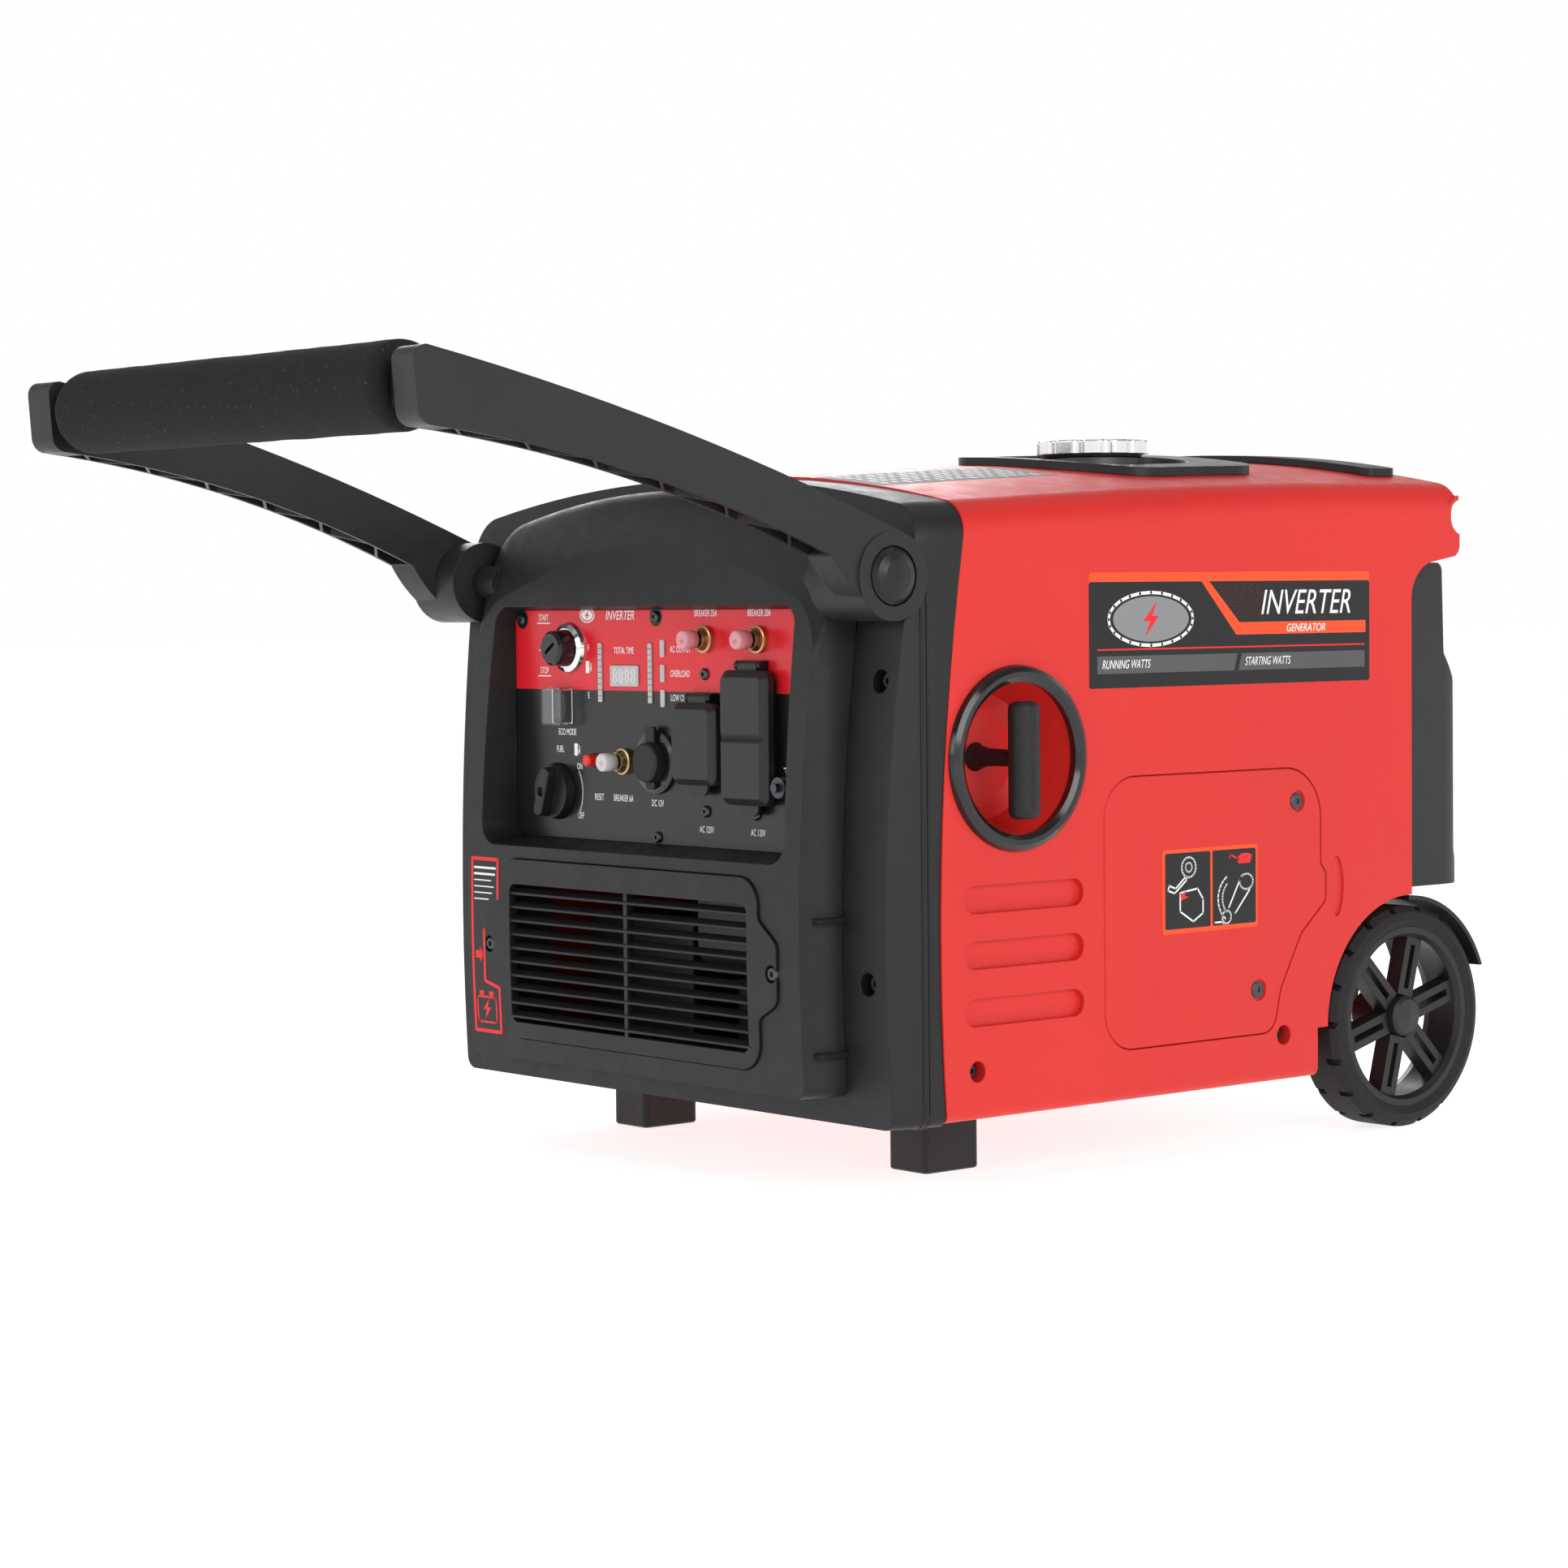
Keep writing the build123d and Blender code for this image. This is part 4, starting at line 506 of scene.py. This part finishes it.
def door_label():
    """Pictogram label on the service door: a fastener and panel, and an oil can over a funnel."""
    flat = bmesh.new()
    add_polygon(flat, rounded_box((115, 146), (203.5, 200), 2.5))
    printed("door_label_border", flat, on_side, 0.02, 0.12, print_orange, "casing")
    flat = bmesh.new()
    add_polygon(flat, rounded_box((117.5, 149), (159, 197.5), 1.5))
    add_polygon(flat, rounded_box((161, 149), (201.5, 197.5), 1.5))
    printed("door_label_fields", flat, on_side, 0.12, 0.2, print_black, "casing")
    flat = bmesh.new()
    line = 1.1
    add_ribbon(flat, arc_points((139, 188), 6.5, 0, 340, 17), line, True)
    add_ribbon(flat, arc_points((139, 188), 3.0, 0, 330, 11), line, True)
    add_ribbon(flat, [(136, 182), (127, 175), (121, 177), (120, 174), (126, 172), (137, 180)], line, True)
    add_ribbon(flat, [(131, 172), (147, 174), (152, 167), (152, 158), (143, 153), (131, 160)], line, True)
    add_ribbon(flat, [(176, 160), (188, 180)], line)
    add_ribbon(flat, [(182, 156), (196, 171)], line)
    add_ribbon(flat, arc_points((192.5, 176), 6.3, 0, 340, 17, 0.8), line, True)
    add_ribbon(flat, arc_points((174, 154), 4.2, 0, 330, 11), line, True)
    add_ribbon(flat, arc_points((182, 166), 16, 120, 235, 10), line)
    add_ribbon(flat, arc_points((182, 166), 12, 130, 225, 10), line)
    add_ribbon(flat, [(163, 151), (170, 151), (171, 149.8)], line)
    printed("door_label_drawing", flat, on_side, 0.2, 0.28, print_white, "casing")
    flat = bmesh.new()
    add_polygon(flat, [(185, 188), (196, 188), (198, 193), (194, 194.5), (188, 194.5), (184, 192)])
    add_ribbon(flat, [(185, 191), (178, 194), (176.5, 192)], 1.2)
    add_polygon(flat, [(131, 171), (137, 173), (135, 170), (139, 169), (132, 167)])
    printed("door_label_can", flat, on_side, 0.2, 0.28, print_red, "casing")


# ---- artwork on the front -----------------------------------------------------------------
bezel_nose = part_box("front_bezel")[0].y / MM
nose_height = 150.0
nose_radius = 1500.0


def on_bezel(u, v, h):
    """Artwork on the bowed bezel face."""
    return Vector((u, bezel_nose + (v - nose_height) ** 2 / (2 * nose_radius) - h, v)) * MM


def battery_label():
    """Battery label beside the slatted cover: outlined, with an arrow and a battery sign."""
    outline = [
        (-168, 74), (-139, 74), (-139, 104), (-155, 108), (-155, 142), (-139, 150), (-139, 190), (-168, 190),
    ]
    flat = bmesh.new()
    add_polygon(flat, outline)
    printed("battery_label_field", flat, on_bezel, 0.02, 0.1, print_black, "casing", 8.0)
    flat = bmesh.new()
    add_ribbon(flat, outline, 2.4, True)
    add_polygon(flat, [
        (-165, 128), (-160, 128), (-160, 131), (-156.5, 125.5), (-160, 120), (-160, 123), (-165, 123),
    ])
    printed("battery_label_outline", flat, on_bezel, 0.1, 0.2, print_red, "casing", 8.0)
    flat = bmesh.new()
    add_ribbon(flat, rounded_box((-164.5, 80), (-143.5, 97), 2.0, 3), 1.3, True)
    add_polygon(flat, [(-162, 98), (-157, 98), (-157, 101), (-162, 101)])
    add_polygon(flat, [(-151, 98), (-146, 98), (-146, 101), (-151, 101)])
    add_polygon(flat, [
        (-151.5, 96), (-158.5, 88.5), (-154.6, 88.5), (-156.5, 82), (-149.5, 90), (-153.4, 90),
    ])
    printed("battery_sign", flat, on_bezel, 0.1, 0.22, print_red, "casing", 8.0)
    flat = bmesh.new()
    for row in range(6):
        length = (24, 23, 19, 22, 20, 16)[row]
        v = 184 - row * 4.2
        add_ribbon(flat, [(-165.5, v), (-165.5 + length, v)], 1.5 if row < 2 else 0.8)
    printed("battery_label_lines", flat, on_bezel, 0.1, 0.2, print_white, "casing", 8.0)


def pump_icon(flat, u, v, size):
    """Small fuel pump sign."""
    body = [(-0.32, -0.5), (0.14, -0.5), (0.14, 0.5), (-0.32, 0.5)]
    add_polygon(flat, [(u + a * size, v + b * size) for a, b in body])
    hose = [(0.14, 0.05), (0.26, 0.0), (0.28, -0.3), (0.38, -0.32), (0.40, 0.22), (0.28, 0.36)]
    add_ribbon(flat, [(u + a * size, v + b * size) for a, b in hose], size * 0.08)


def panel_print():
    """Function words, rules and signs printed on the control panel."""
    flat = bmesh.new()
    small = 4.4
    for words, u, v in (("START", -121, 349), ("RUN", -119.5, 331), ("STOP", -120.5, 314)):
        add_text(flat, words, (u, v), small)
        add_polygon(flat, [(u - 7, v - 2.0), (u + 7, v - 2.0), (u + 7, v - 1.3), (u - 7, v - 1.3)])
    for words, u, v, height in (
        ("F", -72, 329, small), ("E", -72, 298, small), ("TOTAL TIME", -34, 327.5, small),
        ("AC OUTPUT", 25, 328.5, small), ("OVERLOAD", 24.5, 313, small), ("LOW OIL", 22.5, 297.5, small),
        ("BREAKER 25A", 51, 351.5, small), ("BREAKER 20A", 104, 351.5, small),
        ("ECO MODE", -96, 273.5, small),
        ("FUEL", -104, 262, small), ("ON", -83, 251, small), ("OFF", -82, 218.5, small),
        ("RESET", -62, 231.5, small), ("BREAKER 6A", -36, 231.5, small), ("DC 12V", 0, 229.5, small),
        ("AC 120V", 50, 214.5, small), ("AC 120V", 101, 214.5, small),
    ):
        add_text(flat, words, (u, v), height)
    pump_icon(flat, -72.5, 318.5, 8)
    pump_icon(flat, -86, 264, 8)
    add_ribbon(flat, arc_points((-107, 236), 27, -28, 30, 16), 1.1)
    add_ribbon(flat, [(131, 262), (131, 257.5)], 1.0)
    for row, half in enumerate((4.5, 3.0, 1.4)):
        add_ribbon(flat, [(131 - half, 257.5 - row * 2), (131 + half, 257.5 - row * 2)], 0.9)
    add_disc(flat, (-73, 352.5), 8.0, 32, 0.62)
    printed("panel_print", flat, on_panel, 0.02, 0.12, print_white, "casing")
    flat = bmesh.new()
    add_ribbon(flat, arc_points((-73, 352.5), 6.6, 0, 345, 23, 0.58), 0.7, True)
    add_polygon(flat, [
        (-71.6, 355.5), (-75.2, 352), (-73.4, 352), (-74.4, 349.4), (-70.8, 353), (-72.6, 353),
    ])
    printed("panel_badge", flat, on_panel, 0.12, 0.2, print_red, "casing")
    flat = bmesh.new()
    add_text(flat, "INVERTER", (-38, 349.5), 6.2, 0.8, 0.22)
    printed("panel_title", flat, on_panel, 0.02, 0.14, print_white, "casing")
    flat = bmesh.new()
    for u, v in ((-145, 350), (0, 351.5), (145, 350)):
        add_disc(flat, (u, v), 6.4)
    printed("panel_screw_spots", flat, on_panel, 0.01, 0.05, print_black, "casing")


lens_face = (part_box("control_panel")[0].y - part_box("display_lenses")[0].y) / MM
segment_strokes = [
    ((-1, 2), (1, 2)), ((-1, 0), (1, 0)), ((-1, -2), (1, -2)),
    ((-1, 2), (-1, 0)), ((1, 2), (1, 0)), ((-1, 0), (-1, -2)), ((1, 0), (1, -2)),
]


def display_marks():
    """Unlit digit strokes on the display, and the divisions of the two bar gauges."""
    flat = bmesh.new()
    for digit in range(4):
        centre = -33 + (digit - 1.5) * 6.4
        for (u0, v0), (u1, v1) in segment_strokes:
            add_ribbon(flat, [(centre + u0 * 1.6, 313 + v0 * 2.2), (centre + u1 * 1.6, 313 + v1 * 2.2)], 0.7)
    low = lens_face + 0.01
    printed("display_digits", flat, on_panel, low, lens_face + 0.08, print_white, "casing")
    flat = bmesh.new()
    for u in (-59, -6):
        for step in range(1, 10):
            v = 296.0 + step * 3.86
            add_ribbon(flat, [(u - 1.9, v), (u + 1.9, v)], 0.45)
    printed("gauge_divisions", flat, on_panel, low, lens_face + 0.06, print_grey, "casing")


# ---- roof label ---------------------------------------------------------------------------
def roof_label():
    """Silver data plate on the roof, with ruled lines, following the roof's crown."""
    shell = BVHTree.FromObject(nodes["right_shell"], bpy.context.evaluated_depsgraph_get())

    def on_roof(u, v, h):
        hit = shell.ray_cast(Vector((u * MM, v * MM, 0.6)), Vector((0, 0, -1)))
        return hit[0] + Vector((0, 0, h * MM))

    flat = bmesh.new()
    step = 8.0
    plate_left, plate_front = 84, -46
    for column in range(8):
        for row in range(19):
            u, v = plate_left + column * step, plate_front + row * step
            add_polygon(flat, [(u, v), (u + step, v), (u + step, v + step), (u, v + step)])
    bmesh.ops.remove_doubles(flat, verts=flat.verts, dist=0.01)
    printed("roof_plate", flat, on_roof, -0.1, 0.15, plate_grey, "casing")
    flat = bmesh.new()
    for row in range(15):
        v = -36 + row * 9.2
        for part in range(5):
            u0 = 88 + part * 11.5
            u1 = u0 + 9 - (row + part) % 3 * 2
            add_polygon(flat, [(u0, v), (u1, v), (u1, v + 2.2), (u0, v + 2.2)])
    printed("roof_plate_lines", flat, on_roof, 0.15, 0.24, print_white, "casing")


# ---- moulded detail -----------------------------------------------------------------------
def section_loop(node_name, axis, value):
    """Outermost outline of a CAD node where a plane cuts it, as ordered points.

    The cut edges are kept in order, so that the outline starts at the same point in every run.
    """
    bm = bmesh.new()
    bm.from_mesh(nodes[node_name].data)
    bmesh.ops.remove_doubles(bm, verts=bm.verts, dist=1e-6)
    place, normal = Vector((0, 0, 0)), Vector((0, 0, 0))
    place[axis], normal[axis] = value, 1
    everything = bm.verts[:] + bm.edges[:] + bm.faces[:]
    cut = bmesh.ops.bisect_plane(bm, geom=everything, plane_co=place, plane_no=normal)["geom_cut"]
    edges = dict.fromkeys(e for e in cut if isinstance(e, bmesh.types.BMEdge))
    loops = []
    while edges:
        edge = edges.popitem()[0]
        loop = [edge.verts[0], edge.verts[1]]
        while True:
            following = [e for e in loop[-1].link_edges if e in edges]
            if not following:
                break
            edges.pop(following[0])
            loop.append(following[0].other_vert(loop[-1]))
        loops.append([v.co.copy() for v in loop])
    bm.free()

    def spread(loop):
        return sum((max(p[i] for p in loop) - min(p[i] for p in loop)) for i in range(3))

    return max(loops, key=spread)


def even_points(loop, spacing):
    """Points along a closed outline at even spacing."""
    ring = loop if (loop[0] - loop[-1]).length < 1e-6 else loop + loop[:1]
    lengths = [0.0]
    for a, b in zip(ring, ring[1:]):
        lengths.append(lengths[-1] + (b - a).length)
    count = max(8, round(lengths[-1] / spacing))
    points, at = [], 0
    for i in range(count):
        target = lengths[-1] * i / count
        while lengths[at + 1] < target:
            at += 1
        share = (target - lengths[at]) / max(lengths[at + 1] - lengths[at], 1e-9)
        points.append(ring[at].lerp(ring[at + 1], share))
    return points


def bead(name, points, radius, material, body, steps=8):
    """Closed bead of round section along points."""
    bm = bmesh.new()
    count = len(points)
    rings = []
    for i, point in enumerate(points):
        along = (points[(i + 1) % count] - points[i - 1]).normalized()
        first = along.cross(Vector((0, 1, 0))).normalized()
        second = along.cross(first)
        ring = []
        for k in range(steps):
            t = 2 * math.pi * k / steps
            ring.append(bm.verts.new(point + (first * math.cos(t) + second * math.sin(t)) * radius))
        rings.append(ring)
    for i in range(count):
        lower, upper = rings[i], rings[(i + 1) % count]
        for k in range(steps):
            m = (k + 1) % steps
            bm.faces.new([lower[k], lower[m], upper[m], upper[k]])
    return piece(name, bm, material, body, True)


def frame_beads():
    """Two raised beads on the black front frame, across its bottom and up its sides.

    They follow the section's U shape, so they stop beside the handle hubs, and each runs along the inner
    edge of the frame's wall as well as the outer one.
    """
    for index, place in enumerate((-0.0865, -0.0825)):
        loop = even_points(section_loop("front_frame", 1, place), 0.006)
        bead(f"frame_bead_{index + 1}", loop, 0.0009, black_smooth, "casing")


def grip():
    """Foam sleeve with rounded ends and the slight lumps of expanded foam."""
    low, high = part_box("grip_foam")
    centre = (low + high) / 2
    radius = (high.z - low.z) / 2 - 0.0004
    half = (high.x - low.x) / 2
    corner = 0.008
    bore = 0.0125
    lump_pitch, lump = 34, 0.0004
    cell_pitch, cell = 260, 0.00012
    profile = [(-half, bore)]
    for i in range(7):
        t = math.radians(180 - 15 * i)
        profile.append((-half + corner + corner * math.cos(t), radius - corner + corner * math.sin(t)))
    spans = 90
    profile += [(-half + corner + (2 * half - 2 * corner) * i / spans, radius) for i in range(1, spans)]
    for i in range(7):
        t = math.radians(90 - 15 * i)
        profile.append((half - corner + corner * math.cos(t), radius - corner + corner * math.sin(t)))
    profile.append((half, bore))
    steps = 72
    bm = bmesh.new()
    rings = []
    for along, reach in profile:
        ring = []
        for k in range(steps):
            t = 2 * math.pi * k / steps
            point = Vector((along, reach * math.cos(t), reach * math.sin(t)))
            swell = noise.noise(point * lump_pitch) * lump + noise.noise(point * cell_pitch) * cell
            lumpy = reach + swell
            ring.append(bm.verts.new(centre + Vector((along, lumpy * math.cos(t), lumpy * math.sin(t)))))
        rings.append(ring)
    for lower, upper in zip(rings, rings[1:] + rings[:1]):
        for k in range(steps):
            m = (k + 1) % steps
            bm.faces.new([lower[k], lower[m], upper[m], upper[k]])
    sleeve = piece("grip_sleeve", bm, foam, "handle", True)
    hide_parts("grip_foam")


def breaker_buttons():
    """Clear boots over the breaker buttons, each with the button's stem inside."""
    stem_radius, stem_tip_radius = 4.1, 3.4
    boot_radius = 6.1
    wall = 0.7
    reach = 9.8
    for rating in ("25a", "20a", "6a"):
        node_name = f"breaker_button_{rating}"
        low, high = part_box(node_name)
        x, z = (low.x + high.x) / 2 / MM, (low.z + high.z) / 2 / MM
        front, back = low.y / MM, high.y / MM
        body = f"breaker_{rating}"
        stem_end = front - back
        stem = lathe(
            f"breaker_stem_{rating}",
            [(0, stem_radius), (stem_end + 2.6, stem_radius), (stem_end + 2.0, stem_tip_radius)],
            (x, back, z), (0, 1, 0), black_smooth, body, 32,
        )
        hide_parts(node_name)
        lathe(f"breaker_boot_{rating}", [
            (reach, boot_radius), (1.0, 5.9), (0.2, 5.3), (0.0, 4.4), (0.0, 0),
            (wall, 0), (wall, 4.4), (1.2, 5.1), (reach, boot_radius - wall), (reach, boot_radius),
        ], (x, front, z), (0, 1, 0), boot_pink if rating != "6a" else boot_clear, body, 40)


def starter_pad():
    """Soft insert with raised dots on the pull grip's outer face."""
    low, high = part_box("starter_handle")
    centre_y, centre_z = (low.y + high.y) / 2 / MM, (low.z + high.z) / 2 / MM
    face = high.x / MM

    def on_grip(u, v, h):
        across = (u - centre_y) / 10.5
        bulge = 9.0 * math.sqrt(max(0.0, 1 - across ** 2))
        return Vector((face - 9.0 + bulge + h - 0.25, u, v)) * MM

    flat = bmesh.new()
    add_polygon(flat, rounded_box((centre_y - 4.6, centre_z - 25), (centre_y + 4.6, centre_z + 25), 4.4))
    printed("starter_insert", flat, on_grip, -0.4, 0.18, black_smooth, "starter_grip", 3.0)
    flat = bmesh.new()
    for row in range(12):
        for column in range(3):
            u = centre_y + (column - 1) * 2.7 + (row % 2) * 0.9 - 0.45
            add_disc(flat, (u, centre_z - 21 + row * 3.8), 0.75, 10)
    printed("starter_insert_dots", flat, on_grip, 0.1, 0.24, soft_rubber, "starter_grip")


def studio():
    """White floor that glows a little, a sky that darkens upwards, and soft light."""
    bm = bmesh.new()
    half = 30.0
    floor_glow = 0.8
    sky_low, sky_high = 0.35, 0.6
    horizon_sky, upper_sky = (1.0, 1.0, 1.0), (0.18, 0.18, 0.18)
    corners = ((-half, -half), (half, -half), (half, half), (-half, half))
    bm.faces.new([bm.verts.new((x, y, 0)) for x, y in corners])
    mesh = bpy.data.meshes.new("floor")
    bm.to_mesh(mesh)
    bm.free()
    mesh.materials.append(moulded("floor_paper", (0.45, 0.45, 0.45), 0.75, 0.05, 40.0, 0.0, 0.0, 0.01))
    paper = mesh.materials[0].node_tree.nodes["Principled BSDF"]
    paper.inputs["Emission Color"].default_value = (1, 1, 1, 1)
    paper.inputs["Emission Strength"].default_value = floor_glow
    floor = bpy.data.objects.new("floor", mesh)
    scene.collection.objects.link(floor)
    world = bpy.data.worlds.new("studio")
    world.use_nodes = True
    backdrop = world.node_tree.nodes["Background"]
    tree = world.node_tree
    place = tree.nodes.new("ShaderNodeTexCoord")
    parts = tree.nodes.new("ShaderNodeSeparateXYZ")
    tree.links.new(place.outputs["Generated"], parts.inputs["Vector"])
    height = remap(tree, parts.outputs["Z"], 0, 1, sky_low, sky_high)
    tree.links.new(mixed(tree, height, horizon_sky, upper_sky), backdrop.inputs["Color"])
    backdrop.inputs["Strength"].default_value = 1.0
    scene.world = world
    aim = (0.1, 0, 0.25)
    area_light("key_right", (3.4, -0.5, 1.7), aim, 2.2, 1.8, 52)
    area_light("front_soft", (-0.6, -3.4, 1.3), aim, 2.4, 1.4, 22)
    area_light("top_soft", (0.0, 0.3, 3.0), aim, 2.5, 2.5, 16)
    area_light("rim_left", (-2.6, 1.6, 1.5), aim, 1.6, 1.4, 30)
    scene.view_settings.view_transform = "Standard"


make_camera()
side_label()
door_label()
battery_label()
panel_print()
display_marks()
roof_label()
frame_beads()
grip()
breaker_buttons()
starter_pad()
studio()
